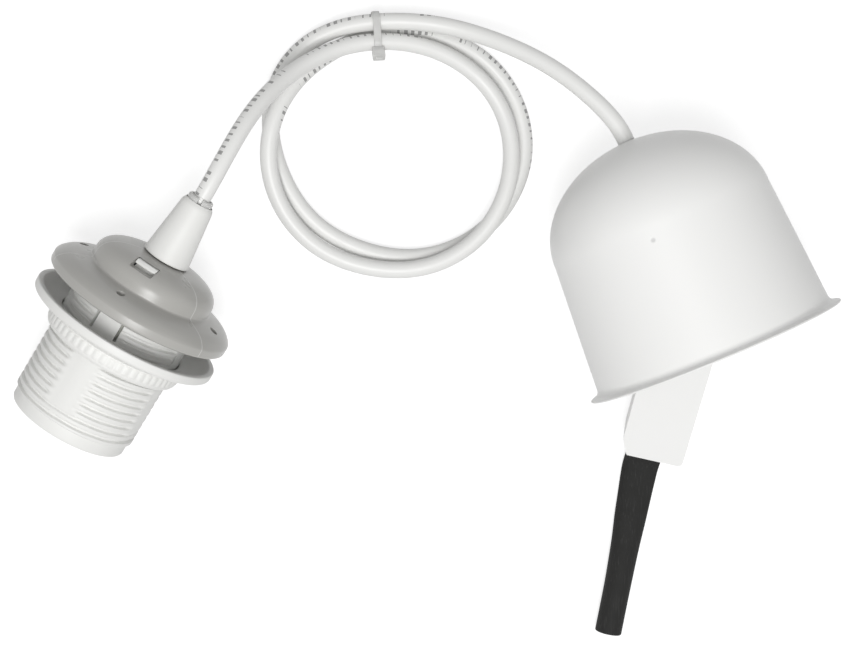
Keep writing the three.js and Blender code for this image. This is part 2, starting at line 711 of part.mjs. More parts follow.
function buildHolder() {
  const height = restingHeight(ringProfile(), HOLDER_RISE);
  const group = axisGroup([...HOLDER_PLACE, height], HOLDER_HEADING, HOLDER_RISE);
  const tail = drum(CORD_DIAMETER / 2, leadFoot + GAP, colletTop, SMALL);
  group.add(
    piece("threaded_sleeve", threadedSleeve(), COLOURS.white, 0.35),
    piece("shade_ring", shadeRing(), COLOURS.white, 0.35),
    piece("holder_cap", holderCap(), COLOURS.grey, 0.3),
    piece("cord_grip_cone", gripCone(), COLOURS.white, 0.4),
    piece("cord_grip_collet", gripCollet(), COLOURS.frosted, 0.4),
    piece("holder_insert", holderInsert(), COLOURS.ivory, 0.5),
    piece("screw_shell", screwShell(), COLOURS.brass, 0.3, 1),
    piece("centre_contact", centreContact(), COLOURS.brass, 0.3, 1),
    piece("side_contact", sideContact(), COLOURS.brass, 0.3, 1),
    piece("holder_cord_tail", tail, COLOURS.cord, 0.5),
  );
  for (const [name, side, color] of [["live", -1, COLOURS.brown], ["neutral", 1, COLOURS.blue]]) {
    group.add(
      piece("holder_clamp_" + name, clampBlock(side), COLOURS.brass, 0.35, 1),
      piece("holder_clamp_screw_" + name, clampScrew(side), COLOURS.steel, 0.35, 1),
      piece("holder_lead_" + name, holderLead(side), color, 0.5),
    );
  }
  return group;
}

function ellipseProfile(radius, rise, from, to, steps) {
  return Array.from({ length: steps + 1 }, (_, i) => {
    const a = radians(from + ((to - from) * i) / steps);
    return [radius * Math.cos(a), ROSE_SHOULDER_PLACE + rise * Math.sin(a)];
  });
}

// The ceiling rose: a drafted wall with a thin rim, closed by a dome with a boss for the bush
function roseProfile() {
  const bushBore = cordBore + BUSH_WALL + GAP;
  const boss = bushBore + BOSS_WALL;
  const foot = roseTop - ROSE_BOSS_HEIGHT;
  const insideShoulder = ROSE_SHOULDER_RADIUS - ROSE_WALL;
  const insideRise = ROSE_DOME_HEIGHT - ROSE_WALL;
  const steep = 84; // degrees up the dome at which the boss or the top hole begins
  const bossMeets = ROSE_SHOULDER_PLACE + insideRise * Math.sqrt(1 - (boss / insideShoulder) ** 2);
  return [
    [ROSE_FOOT_RADIUS - 0.75 * ROSE_WALL, 0], [ROSE_RIM_RADIUS - 0.2, 0],
    [ROSE_RIM_RADIUS, ROSE_RIM_EDGE], [ROSE_RIM_RADIUS - 0.2, 2 * ROSE_RIM_EDGE],
    [ROSE_FOOT_RADIUS + 0.6, ROSE_RIM_THICKNESS], [ROSE_FOOT_RADIUS, 1.6 * ROSE_RIM_THICKNESS],
    ...ellipseProfile(ROSE_SHOULDER_RADIUS, ROSE_DOME_HEIGHT, 0, steep, 8),
    [cordBore, roseTop], [cordBore, foot + BUSH_HEIGHT + 2 * GAP],
    [bushBore, foot + BUSH_HEIGHT + 2 * GAP], [bushBore, foot], [boss, foot], [boss, bossMeets],
    ...ellipseProfile(insideShoulder, insideRise, 78, 0, 5),
    [ROSE_FOOT_RADIUS - ROSE_WALL, ROSE_RIM_THICKNESS],
  ];
}

function gripBush() {
  const foot = roseTop - ROSE_BOSS_HEIGHT + GAP;
  return turned(
    [
      [cordBore, foot], [cordBore + BUSH_WALL, foot], [cordBore + BUSH_WALL, foot + BUSH_HEIGHT],
      [cordBore, foot + BUSH_HEIGHT],
    ],
    COARSE,
  );
}

// The plate by which the set hangs: a hook's eye at one end, the cord's saddle at the other
function hangingPlate() {
  const [w, t, l] = PLATE_SIZE;
  const top = -cordBore;
  const body = block([-w / 2, top - t, PLATE_TOP - l], [w / 2, top, PLATE_TOP]);
  const eye = new THREE.CylinderGeometry(EYE_DIAMETER / 2, EYE_DIAMETER / 2, 3 * t, COARSE);
  let plate = body.subtract(solidOf(eye.translate(0, top, PLATE_TOP - l + w / 2)));
  for (const side of [-1, 1]) plate = plate.subtract(saddleHole(side));
  return plate;
}

const saddleMiddle = PLATE_TOP - SADDLE_LENGTH / 2 - SADDLE_DROP;
const saddleHoleSpread = SADDLE_FOOT / 2 - SADDLE_SCREW_DIAMETER / 2 - 0.1;

function saddleHole(side) {
  const r = SADDLE_SCREW_DIAMETER / 4 + GAP;
  const hole = new THREE.CylinderGeometry(r, r, 2 * SADDLE_FOOT, SMALL);
  return solidOf(hole.translate(side * saddleHoleSpread, 0, saddleMiddle));
}

// The saddle: an arch over the cord with a foot and a screw at either side
function cordSaddle() {
  const inner = cordBore;
  const outer = inner + SADDLE_WALL;
  const footTop = -inner + GAP + 1.6;
  const shape = new THREE.Shape();
  shape.moveTo(SADDLE_FOOT / 2, -inner + GAP);
  shape.lineTo(SADDLE_FOOT / 2, footTop);
  shape.lineTo(outer, footTop);
  shape.absarc(0, 0, outer, 0, Math.PI, false);
  shape.lineTo(-outer, footTop);
  shape.lineTo(-SADDLE_FOOT / 2, footTop);
  shape.lineTo(-SADDLE_FOOT / 2, -inner + GAP);
  shape.lineTo(-inner, -inner + GAP);
  shape.lineTo(-inner, 0);
  shape.absarc(0, 0, inner, Math.PI, 0, true);
  shape.lineTo(inner, -inner + GAP);
  const arch = extruded(shape, SADDLE_LENGTH).translate(0, 0, saddleMiddle - SADDLE_LENGTH / 2);
  let saddle = solidOf(arch);
  for (const side of [-1, 1]) saddle = saddle.subtract(saddleHole(side));
  return saddle;
}

function saddleScrew(side) {
  const screw = slottedScrew(SADDLE_SCREW_DIAMETER, SADDLE_SCREW_HEAD, 3.2);
  const seat = -cordBore + GAP + 1.6 + GAP;
  return screw.scale([1, -1, 1]).translate([side * saddleHoleSpread, seat, saddleMiddle]);
}

function buildRose(group) {
  const tailTop = roseTop;
  const tail = drum(CORD_DIAMETER / 2, tailTop - TAIL_LENGTH, tailTop, SMALL);
  group.add(
    piece("ceiling_rose", turned(roseProfile(), FINE), COLOURS.white, 0.35),
    piece("rose_grip_bush", gripBush(), COLOURS.frosted, 0.6),
    piece("rose_cord_tail", tail, COLOURS.cord, 0.5),
  );
  const hanger = new THREE.Group();
  hanger.rotation.z = Math.PI;
  hanger.add(
    piece("hanging_plate", hangingPlate(), COLOURS.ivory, 0.5),
    piece("cord_saddle", cordSaddle(), COLOURS.ivory, 0.5),
    piece("saddle_screw_1", saddleScrew(-1), COLOURS.steel, 0.35, 1),
    piece("saddle_screw_2", saddleScrew(1), COLOURS.steel, 0.35, 1),
  );
  group.add(hanger);
}

// The box's outline seen from above: square at its inner end, its outer corners cut
function boxOutline(inset, innerEnd) {
  const half = BOX_WIDTH / 2 - inset;
  const outerEnd = BOX_LENGTH - inset;
  const [bevelWidth, bevelLength] = BOX_BEVEL;
  return new THREE.Shape([
    point(-half, innerEnd), point(half, innerEnd), point(half, outerEnd - bevelLength),
    point(half - bevelWidth, outerEnd - 1), point(half - bevelWidth - 0.5, outerEnd),
    point(BOX_CORNER - half, outerEnd), point(0.3 * BOX_CORNER - half, outerEnd - 0.3 * BOX_CORNER),
    point(-half, outerEnd - BOX_CORNER),
  ]);
}

function tubeOpening(y0, y1) {
  const cutter = new THREE.CylinderGeometry(1, 1, y1 - y0, COARSE);
  const half = TUBE_FLAT_WIDTH / 2 + 2 * GAP;
  cutter.scale(half, 1, TUBE_FLAT_HEIGHT / 2 + 3 * GAP);
  return solidOf(cutter.translate(TUBE_SIDE, (y0 + y1) / 2, tubeHeight));
}

const tubeHeight = BOX_LID + (BOX_THICKNESS - BOX_LID) / 2;

function boxBase() {
  const depth = BOX_THICKNESS - BOX_LID - GAP;
  const outer = extruded(boxOutline(0, 0), depth);
  const inner = extruded(boxOutline(BOX_WALL, -1), depth);
  const tray = solidOf(outer.translate(0, 0, BOX_LID + GAP));
  const hollow = solidOf(inner.translate(0, 0, BOX_LID + GAP - BOX_WALL));
  return tray.subtract(hollow).subtract(tubeOpening(BOX_LENGTH - TUBE_INSIDE - 1, BOX_LENGTH + 1));
}

function boxLid() {
  return solidOf(extruded(boxOutline(0, 0), BOX_LID));
}

// The strip that holds the two barrels, bored through for them and from above for their screws
function terminalStrip() {
  const [w, l, h] = STRIP_SIZE;
  const foot = BOX_LID + GAP;
  let strip = block([-w / 2, STRIP_PLACE, foot], [w / 2, STRIP_PLACE + l, foot + h]);
  const r = BARREL_DIAMETER / 2 + GAP;
  for (const side of [-1, 1]) {
    const bore = new THREE.CylinderGeometry(r, r, l + 2, SMALL);
    bore.translate(side * BARREL_SPREAD, STRIP_PLACE + l / 2, foot + h / 2);
    strip = strip.subtract(solidOf(bore));
    for (const end of [-1, 1]) {
      const well = drum(TERMINAL_SCREW_DIAMETER / 2 + GAP, foot + h / 2, foot + h + 1, SMALL);
      strip = strip.subtract(well.translate(screwPlace(side, end)));
    }
  }
  return strip;
}

const screwPlace = (side, end) => [
  side * BARREL_SPREAD, STRIP_PLACE + STRIP_SIZE[1] / 2 + end * TERMINAL_SCREW_SPREAD, 0,
];

function terminalBarrel(side) {
  const [, l, h] = STRIP_SIZE;
  const tube = new THREE.CylinderGeometry(BARREL_DIAMETER / 2, BARREL_DIAMETER / 2, l - 1, SMALL);
  const bore = new THREE.CylinderGeometry(BARREL_BORE / 2, BARREL_BORE / 2, l + 1, SMALL);
  const place = [side * BARREL_SPREAD, STRIP_PLACE + l / 2, BOX_LID + GAP + h / 2];
  let barrel = solidOf(tube.translate(...place)).subtract(solidOf(bore.translate(...place)));
  for (const end of [-1, 1]) {
    const hole = drum(TERMINAL_SCREW_DIAMETER / 2 + GAP / 2, place[2], place[2] + h, SMALL);
    barrel = barrel.subtract(hole.translate(screwPlace(side, end)));
  }
  return barrel;
}

function terminalScrew(side, end) {
  const h = STRIP_SIZE[2];
  const middle = BOX_LID + GAP + h / 2;
  const screw = drum(TERMINAL_SCREW_DIAMETER / 2, middle + 0.4, middle + h / 2 - 0.3, SMALL);
  const slot = block(
    [-TERMINAL_SCREW_DIAMETER, -SCREW_SLOT / 2, middle + h / 2 - 1],
    [TERMINAL_SCREW_DIAMETER, SCREW_SLOT / 2, middle + h],
  );
  return screw.subtract(slot).translate(screwPlace(side, end));
}

// The heat-proof tube: pressed flat where it comes down out of the box, round at its free end
function heatTube(mouthHeight) {
  const outer = new THREE.Shape().absarc(0, 0, TUBE_DIAMETER / 2, 0, 2 * Math.PI);
  outer.holes.push(new THREE.Path().absarc(0, 0, TUBE_DIAMETER / 2 - TUBE_WALL, 0, 2 * Math.PI));
  const tube = new THREE.ExtrudeGeometry(outer, {
    depth: TUBE_LENGTH, steps: TUBE_STEPS, bevelEnabled: false, curveSegments: SMALL,
  });
  tube.rotateX(-Math.PI / 2).translate(0, -TUBE_INSIDE, 0); // its length along +Y
  const flatWide = TUBE_FLAT_WIDTH / TUBE_DIAMETER;
  const flatHigh = TUBE_FLAT_HEIGHT / TUBE_DIAMETER;
  const lying = (wide, high, twist) =>
    (TUBE_DIAMETER / 2) * Math.hypot(wide * Math.sin(twist), high * Math.cos(twist));
  const lean = radians(BOX_ROLL) * Math.cos(radians(BOX_DIP));
  const drop = mouthHeight - lying(flatWide, flatHigh, lean);
  const place = tube.attributes.position;
  for (let i = 0; i < place.count; i++) {
    const along = place.getY(i);
    const open = THREE.MathUtils.smoothstep(along, 0, 0.75 * TUBE_LENGTH);
    const wide = THREE.MathUtils.lerp(flatWide, 1, open);
    const high = THREE.MathUtils.lerp(flatHigh, 1, open);
    const left = 1 - along / TUBE_FALL;
    const fall = left > 1 ? 2 * left - 1 : Math.max(left, 0) ** 2;
    const twist = lean * (1 - open); // from the box's lean to none
    const [x, z] = [place.getX(i) * wide, place.getZ(i) * high];
    place.setX(i, x * Math.cos(twist) - z * Math.sin(twist));
    const height = lying(wide, high, twist) + drop * fall;
    place.setZ(i, x * Math.sin(twist) + z * Math.cos(twist) + height);
  }
  return solidOf(tube);
}

// The tube lies on the plane, with its length along its own Y and its start in the box's mouth
function buildTube(box) {
  const mouth = box.localToWorld(new THREE.Vector3(TUBE_SIDE, BOX_LENGTH, tubeHeight));
  const group = new THREE.Group();
  group.rotation.z = radians(TUBE_HEADING - 90);
  group.position.set(mouth.x, mouth.y, 0);
  group.add(piece("heat_tube", heatTube(mouth.z), COLOURS.black, 0.7));
  return group;
}

// The box's frame: X across, Y out along the box, Z away from its lid
function boxGroup() {
  const group = new THREE.Group();
  const turn = new THREE.Matrix4().makeRotationZ(radians(BOX_HEADING - 90));
  const dip = new THREE.Matrix4().makeRotationX(radians(-BOX_DIP));
  const roll = new THREE.Matrix4().makeRotationY(radians(-BOX_ROLL));
  group.quaternion.setFromRotationMatrix(turn.multiply(dip).multiply(roll));
  const end = new THREE.Vector3(0, BOX_LENGTH, 0).applyQuaternion(group.quaternion);
  const [x, y] = [ROSE_PLACE[0] + BOX_FROM_ROSE[0], ROSE_PLACE[1] + BOX_FROM_ROSE[1]];
  const feet = boxOutline(0, 0).getPoints().map((p) => new THREE.Vector3(p.x, p.y, 0));
  const lowest = Math.min(...feet.map((foot) => foot.applyQuaternion(group.quaternion).z));
  group.position.set(x - end.x, y - end.y, -lowest);
  group.updateMatrixWorld(true);
  return group;
}

function buildBox(group) {
  group.add(
    piece("terminal_box_base", boxBase(), COLOURS.white, 0.35),
    piece("terminal_box_lid", boxLid(), COLOURS.white, 0.35),
    piece("terminal_strip", terminalStrip(), COLOURS.ivory, 0.5),
  );
  let count = 0;
  for (const side of [-1, 1]) {
    group.add(
      piece("terminal_barrel_" + (side < 0 ? 1 : 2), terminalBarrel(side), COLOURS.brass, 0.35, 1),
    );
    for (const end of [-1, 1]) {
      count += 1;
      group.add(piece("terminal_screw_" + count, terminalScrew(side, end), COLOURS.steel, 0.35, 1));
    }
  }
}

// A conductor from the cord's tail in the rose to the mouth of a barrel in the box
function roseLead(rose, box, side) {
  const tailFoot = roseTop - TAIL_LENGTH - GAP;
  const inRose = (...p) => rose.localToWorld(new THREE.Vector3(...p));
  const inBox = (...p) => box.localToWorld(new THREE.Vector3(...p));
  const height = BOX_LID + GAP + STRIP_SIZE[2] / 2;
  const route = new THREE.CatmullRomCurve3([
    inRose(side * CONDUCTOR_SPREAD, 0, tailFoot),
    inRose(side * CONDUCTOR_SPREAD, 0, tailFoot - 3),
    inRose(side * 2, -1, tailFoot - 11),
    inBox(side * BARREL_SPREAD, 1, height),
    inBox(side * BARREL_SPREAD, STRIP_PLACE - 6, height),
    inBox(side * BARREL_SPREAD, STRIP_PLACE - GAP, height),
  ]);
  return bar(route, CONDUCTOR_DIAMETER / 2, 16, 8);
}

// Where the strands within reach pass through the tie's plane, anticlockwise in its own frame
function strandsAt(group, curve) {
  const found = [];
  const points = curve.getPoints(CORD_SAMPLES).map((p) => group.worldToLocal(p));
  for (let i = 1; i < points.length; i++) {
    const [a, b] = [points[i - 1], points[i]];
    if (a.z * b.z > 0 || Math.abs(b.x) > TIE_REACH) continue;
    found.push(a.clone().lerp(b, a.z / (a.z - b.z)));
  }
  const middle = found.reduce((sum, p) => sum.add(p), new THREE.Vector3());
  middle.divideScalar(found.length);
  const turn = (p) => Math.atan2(p.y - middle.y, p.x - middle.x);
  return found.sort((a, b) => turn(a) - turn(b));
}

// The outline at an even distance round a ring of strands
function wrapped(strands, radius) {
  const path = new THREE.Path();
  const outward = (from, to) => Math.atan2(to.y - from.y, to.x - from.x) - Math.PI / 2;
  strands.forEach((p, i) => {
    const before = strands.at(i - 1);
    const after = strands[(i + 1) % strands.length];
    path.absarc(p.x, p.y, radius, outward(before, p), outward(p, after), false);
  });
  return path.getPoints(5);
}

// The tie: a strap round the strands, its head at the near side and a short cut tail
function cableTie(strands) {
  const r = CORD_DIAMETER / 2 + TIE_SLACK;
  const strap = new THREE.Shape(wrapped(strands, r + TIE_THICKNESS));
  strap.holes.push(new THREE.Path(wrapped(strands, r)));
  const band = extruded(strap, TIE_WIDTH).translate(0, 0, -TIE_WIDTH / 2);
  const [w, l, h] = TIE_HEAD;
  const near = strands.reduce((a, b) => (a.x < b.x ? a : b));
  const foot = near.x - r - TIE_THICKNESS / 2;
  const head = new THREE.BoxGeometry(l, h, w).translate(foot - l / 2, near.y, 0);
  const tail = new THREE.BoxGeometry(TIE_TAIL + 1, TIE_THICKNESS, TIE_WIDTH);
  tail.translate(foot - l - TIE_TAIL / 2 + 0.5, near.y + h / 4, 0);
  return solidOf(band).add(solidOf(head)).add(solidOf(tail));
}

function buildTie(curve) {
  const h = radians(TIE_HEADING);
  const along = new THREE.Vector3(Math.cos(h), Math.sin(h), 0);
  const across = new THREE.Vector3(-Math.sin(h), Math.cos(h), 0);
  const up = new THREE.Vector3(0, 0, 1);
  const group = new THREE.Group();
  group.quaternion.setFromRotationMatrix(new THREE.Matrix4().makeBasis(across, up, along));
  group.position.set(...TIE_PLACE, 0);
  group.updateMatrixWorld(true);
  group.add(piece("cable_tie", cableTie(strandsAt(group, curve)), COLOURS.frosted, 0.4));
  return group;
}

// The cord as one smooth curve: straight out of either end and along the chosen route
function cordCurve(holder, rose) {
  const end = (group, z) => group.localToWorld(new THREE.Vector3(0, 0, z));
  const points = [
    end(holder, colletTop + GAP), end(holder, colletTop + GAP + CORD_STRAIGHT),
    ...LOOP_ROUTE.map((p) => new THREE.Vector3(...p)),
    end(rose, roseTop + GAP + CORD_STRAIGHT), end(rose, roseTop + GAP),
  ];
  const degree = 3;
  const spans = points.length - degree;
  const knots = [0, 0, 0, ...Array.from({ length: spans + 1 }, (_, i) => i / spans), 1, 1, 1];
  return new NURBSCurve(degree, knots, points.map((p) => new THREE.Vector4(p.x, p.y, p.z, 1)));
}

function buildSet() {
  const set = new THREE.Group();
  const holder = buildHolder();
  const roseHeight = restingHeight(roseProfile(), -ROSE_LEAN);
  const rose = axisGroup([...ROSE_PLACE, roseHeight], ROSE_HEADING, -ROSE_LEAN);
  buildRose(rose);
  const box = boxGroup();
  buildBox(box);
  const curve = cordCurve(holder, rose);
  const cord = bar(curve, CORD_DIAMETER / 2, CORD_STEPS, CORD_SIDES);
  set.add(
    holder, rose, box, buildTube(box), buildTie(curve),
    piece("cord", cord, COLOURS.cord, 0.5),
    piece("rose_lead_live", roseLead(rose, box, -1), COLOURS.brown, 0.5),
    piece("rose_lead_neutral", roseLead(rose, box, 1), COLOURS.blue, 0.5),
  );
  return set;
}

export default buildSet();
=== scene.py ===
"""Pendant cord set: lamp holder, tied cord and ceiling rose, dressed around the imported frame.

Sizes are in millimetres in each part's own frame, and every mesh is brought into the row frame in metres.
"""

import json
import logging
import math
from dataclasses import dataclass
from enum import Enum
from functools import cache
from typing import Callable, Iterable, Mapping, Optional, Sequence, Union

import bmesh
import bpy
from mathutils import Matrix, Vector, noise

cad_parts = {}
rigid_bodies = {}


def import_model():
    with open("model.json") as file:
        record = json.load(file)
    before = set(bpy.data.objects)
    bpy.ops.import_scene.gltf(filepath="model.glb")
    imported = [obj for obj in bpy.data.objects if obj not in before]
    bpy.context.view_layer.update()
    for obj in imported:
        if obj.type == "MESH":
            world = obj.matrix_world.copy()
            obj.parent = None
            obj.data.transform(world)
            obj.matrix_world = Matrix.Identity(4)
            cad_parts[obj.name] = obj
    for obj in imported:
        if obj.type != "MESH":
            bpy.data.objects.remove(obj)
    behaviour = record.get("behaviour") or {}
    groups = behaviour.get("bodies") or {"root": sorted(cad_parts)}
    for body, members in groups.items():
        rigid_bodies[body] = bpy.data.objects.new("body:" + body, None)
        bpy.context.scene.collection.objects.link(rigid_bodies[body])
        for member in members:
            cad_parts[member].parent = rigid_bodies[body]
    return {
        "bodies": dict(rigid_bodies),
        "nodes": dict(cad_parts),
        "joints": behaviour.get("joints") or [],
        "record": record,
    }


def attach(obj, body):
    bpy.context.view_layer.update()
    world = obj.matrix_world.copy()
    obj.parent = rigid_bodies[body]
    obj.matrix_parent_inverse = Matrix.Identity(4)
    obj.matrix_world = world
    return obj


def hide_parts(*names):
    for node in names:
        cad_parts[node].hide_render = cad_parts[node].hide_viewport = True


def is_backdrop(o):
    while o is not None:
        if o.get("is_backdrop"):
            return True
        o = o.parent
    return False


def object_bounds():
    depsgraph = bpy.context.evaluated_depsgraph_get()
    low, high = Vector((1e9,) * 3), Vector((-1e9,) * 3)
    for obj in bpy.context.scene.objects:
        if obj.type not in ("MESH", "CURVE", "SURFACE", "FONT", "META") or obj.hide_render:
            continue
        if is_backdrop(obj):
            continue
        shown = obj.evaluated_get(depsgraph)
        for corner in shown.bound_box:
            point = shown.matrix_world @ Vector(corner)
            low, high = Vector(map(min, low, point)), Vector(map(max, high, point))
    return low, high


LOG = logging.getLogger("pendant_cord_set")
MM = 0.001
TO_METRES = Matrix.Scale(MM, 4)
TO_MILLIMETRES = Matrix.Scale(1 / MM, 4)
GAP = 0.3
BODY = "root"
OWN_PLACE = "own_place"
OUTER = "outer"
RUN = "run"
TURN = "turn"
SHARP_ANGLE = 32.0
PIVOT = 10.0

Mesh = bpy.types.Mesh
Object = bpy.types.Object
Socket = bpy.types.NodeSocket
Value = Union["Term", Socket, float, Sequence[float], str, None]
Corner = Sequence[float]
Colour = tuple[float, float, float]


class Slot(Enum):
    """Material slots of the record."""

    HOLDER_WHITE = "holder_white"
    CAP_GREY = "cap_grey"
    ROSE_WHITE = "rose_white"
    IVORY = "ivory"
    FROSTED = "frosted"
    CORD_SHEATH = "cord_sheath"
    BLACK_TUBE = "black_tube"
    BROWN_WIRE = "brown_wire"
    BLUE_WIRE = "blue_wire"
    BRASS = "brass"
    STEEL = "steel"


# Node trees


def operator(operation: str, swapped: bool = False) -> Callable[["Term", Value], "Term"]:
    """Makes the method that adds a math node for an operator.

    Args:
        operation: the node's operation.
        swapped: whether the other value comes first.

    Returns:
        The method.
    """

    def added_node(self: "Term", other: Value) -> "Term":
        """Adds the node."""
        values = (other, self) if swapped else (self, other)
        return self.sheet.math(operation, *values)

    return added_node


class Term:
    """A socket of a node tree, on which the operators add math nodes."""

    __add__ = __radd__ = operator("ADD")
    __mul__ = __rmul__ = operator("MULTIPLY")
    __sub__, __rsub__ = operator("SUBTRACT"), operator("SUBTRACT", True)
    __truediv__, __rtruediv__ = operator("DIVIDE"), operator("DIVIDE", True)
    __lt__, __gt__, __pow__ = operator("LESS_THAN"), operator("GREATER_THAN"), operator("POWER")

    def __init__(self, sheet: "NodeSheet", socket: Socket) -> None:
        """Wraps a socket of a sheet."""
        self.sheet, self.socket = sheet, socket

    def do(self, operation: str, *others: Value) -> "Term":
        """Adds a math node of any other kind."""
        return self.sheet.math(operation, self, *others)


class NodeSheet:
    """A node tree that is being built."""

    def __init__(self, tree: bpy.types.NodeTree) -> None:
        """Starts on an empty tree."""
        self.tree = tree

    def feed(self, socket: Socket, value: Value) -> None:
        """Links a socket to another, or sets its value.

        Args:
            socket: the input.
            value: a term, an output socket or a plain value.
        """
        value = value.socket if isinstance(value, Term) else value
        if isinstance(value, Socket):
            self.tree.links.new(value, socket)
        elif value is not None:
            socket.default_value = value

    def node(self, kind: str, inputs: Optional[Mapping] = None, **settings: object) -> bpy.types.Node:
        """Adds a node.

        Args:
            kind: its type.
            inputs: values by the input's name or number.
            settings: its properties.

        Returns:
            The node.
        """
        node = self.tree.nodes.new(kind)
        for name, value in settings.items():
            setattr(node, name, value)
        for name, value in (inputs or {}).items():
            self.feed(node.inputs[name], value)
        return node

    def term(self, kind: str, inputs: Optional[Mapping] = None, output: Union[int, str] = 0,
             **settings: object) -> Term:
        """Adds a node as node() does, and returns the output with a number or a name."""
        return Term(self, self.node(kind, inputs, **settings).outputs[output])

    def math(self, operation: str, *values: Value) -> Term:
        """Adds a math node and returns its result."""
        return self.term("ShaderNodeMath", dict(enumerate(values)), operation=operation)

    def ramp(self, value: Value, start: Value, end: Value, low: float = 0.0, high: float = 1.0) -> Term:
        """Adds a smooth step from low to high.

        Args:
            value: what is mapped.
            start: where the step begins.
            end: where it ends; it may lie below start.
            low: the result before start.
            high: the result after end.

        Returns:
            The mapped value.
        """
        inputs = {"Value": value, "From Min": start, "From Max": end, "To Min": low, "To Max": high}
        return self.term("ShaderNodeMapRange", inputs, "Result", interpolation_type="SMOOTHSTEP")

    def noise(self, place: Value, scale: Value, detail: float, roughness: float = 0.5) -> Term:
        """Adds a noise and returns its level."""
        return self.term("ShaderNodeTexNoise", {
            "Vector": place, "Scale": scale, "Detail": detail, "Roughness": roughness})

    def split(self, place: Value) -> list[Term]:
        """Splits a place into its X, Y and Z."""
        return [Term(self, part) for part in self.node("ShaderNodeSeparateXYZ", {0: place}).outputs]

    def polar(self, place: Value) -> tuple[Term, Term, Term]:
        """Splits a place into its angle in radians, its distance from the Z axis and its height."""
        x, y, z = self.split(place)
        return y.do("ARCTAN2", x), (x ** 2.0 + y ** 2.0).do("SQRT"), z


class Recipe(NodeSheet):
    """A Geometry Nodes tree with named inputs, and the way to run it."""

    KINDS = {float: "NodeSocketFloat", int: "NodeSocketInt", Object: "NodeSocketObject"}

    def __init__(self, name: str, inputs: Mapping[str, type]) -> None:
        """Makes the tree's inputs.

        Args:
            name: the tree's name.
            inputs: the type of each named input, apart from the geometry and the material.
        """
        super().__init__(bpy.data.node_groups.new(name, "GeometryNodeTree"))
        self.tree.is_modifier = True
        face = self.tree.interface
        face.new_socket("Geometry", in_out="INPUT", socket_type="NodeSocketGeometry")
        for label, kind in inputs.items():
            face.new_socket(label, in_out="INPUT", socket_type=self.KINDS[kind])
        face.new_socket("Finish", in_out="INPUT", socket_type="NodeSocketMaterial")
        face.new_socket("Geometry", in_out="OUTPUT", socket_type="NodeSocketGeometry")
        sockets = self.tree.nodes.new("NodeGroupInput").outputs
        self.put = {socket.name: Term(self, socket) for socket in sockets}

    def close(self, geometry: Term) -> "Recipe":
        """Ends the tree in Realize Instances and Set Material.

        Args:
            geometry: what the tree has made.

        Returns:
            The recipe.
        """
        real = self.term("GeometryNodeRealizeInstances", {"Geometry": geometry})
        dressed = self.term("GeometryNodeSetMaterial", {"Geometry": real, "Material": self.put["Finish"]})
        self.node("NodeGroupOutput", {"Geometry": dressed})
        return self

    def outward(self, place: Term, reach: Term, amount: Term) -> "Recipe":
        """Moves each point straight out from the Z axis and ends the tree.

        Args:
            place: the points' places.
            reach: their distances from the axis.
            amount: how far each goes.

        Returns:
            The recipe.
        """
        flat = self.term("ShaderNodeVectorMath", {0: place, 1: (1.0, 1.0, 0.0)}, operation="MULTIPLY")
        out = self.term("ShaderNodeVectorMath", {0: flat, "Scale": amount / reach}, operation="SCALE")
        moved = self.term("GeometryNodeSetPosition", {"Geometry": self.put["Geometry"], "Offset": out})
        return self.close(moved)

    def run(self, mesh: Mesh, finish: bpy.types.Material, **values: object) -> Mesh:
        """Runs the tree on a mesh.

        Args:
            mesh: the start shape.
            finish: the material that the tree sets.
            values: the named inputs, with _ for a space.

        Returns:
            The finished plain mesh.
        """
        carrier = added(self.tree.name, mesh)
        modifier = carrier.modifiers.new(self.tree.name, "NODES")
        modifier.node_group = self.tree
        named = {label.replace("_", " ").lower(): value for label, value in values.items()}
        named["finish"] = finish
        for item in self.tree.interface.items_tree:
            if item.in_out == "INPUT" and item.name.lower() in named:
                modifier[item.identifier] = named[item.name.lower()]
        graph = bpy.context.evaluated_depsgraph_get()
        made = bpy.data.meshes.new_from_object(
            carrier.evaluated_get(graph), preserve_all_data_layers=True, depsgraph=graph)
        bpy.data.objects.remove(carrier)
        return made


def turning_recipe() -> Recipe:
    """Turns a profile about the Z axis.

    Returns:
        The recipe; its start shape is a closed line of edges at (radius, 0, height), and the pivot is
        the radius of the circle that carries the line round.
    """
    tree = Recipe("turned_body", {"Segments": int, "Pivot": float})
    pivot = tree.put["Pivot"]
    x, _, z = tree.split(tree.term("GeometryNodeInputPosition"))
    flat = tree.term("ShaderNodeCombineXYZ", {"X": x - pivot, "Y": z * -1.0})
    laid = tree.term("GeometryNodeSetPosition", {"Geometry": tree.put["Geometry"], "Position": flat})
    line = tree.term("GeometryNodeMeshToCurve", {0: laid})
    path = tree.term("GeometryNodeCurvePrimitiveCircle", {
        "Resolution": tree.put["Segments"], "Radius": pivot}, mode="RADIUS")
    return tree.close(tree.term("GeometryNodeCurveToMesh", {"Curve": path, "Profile Curve": line}))


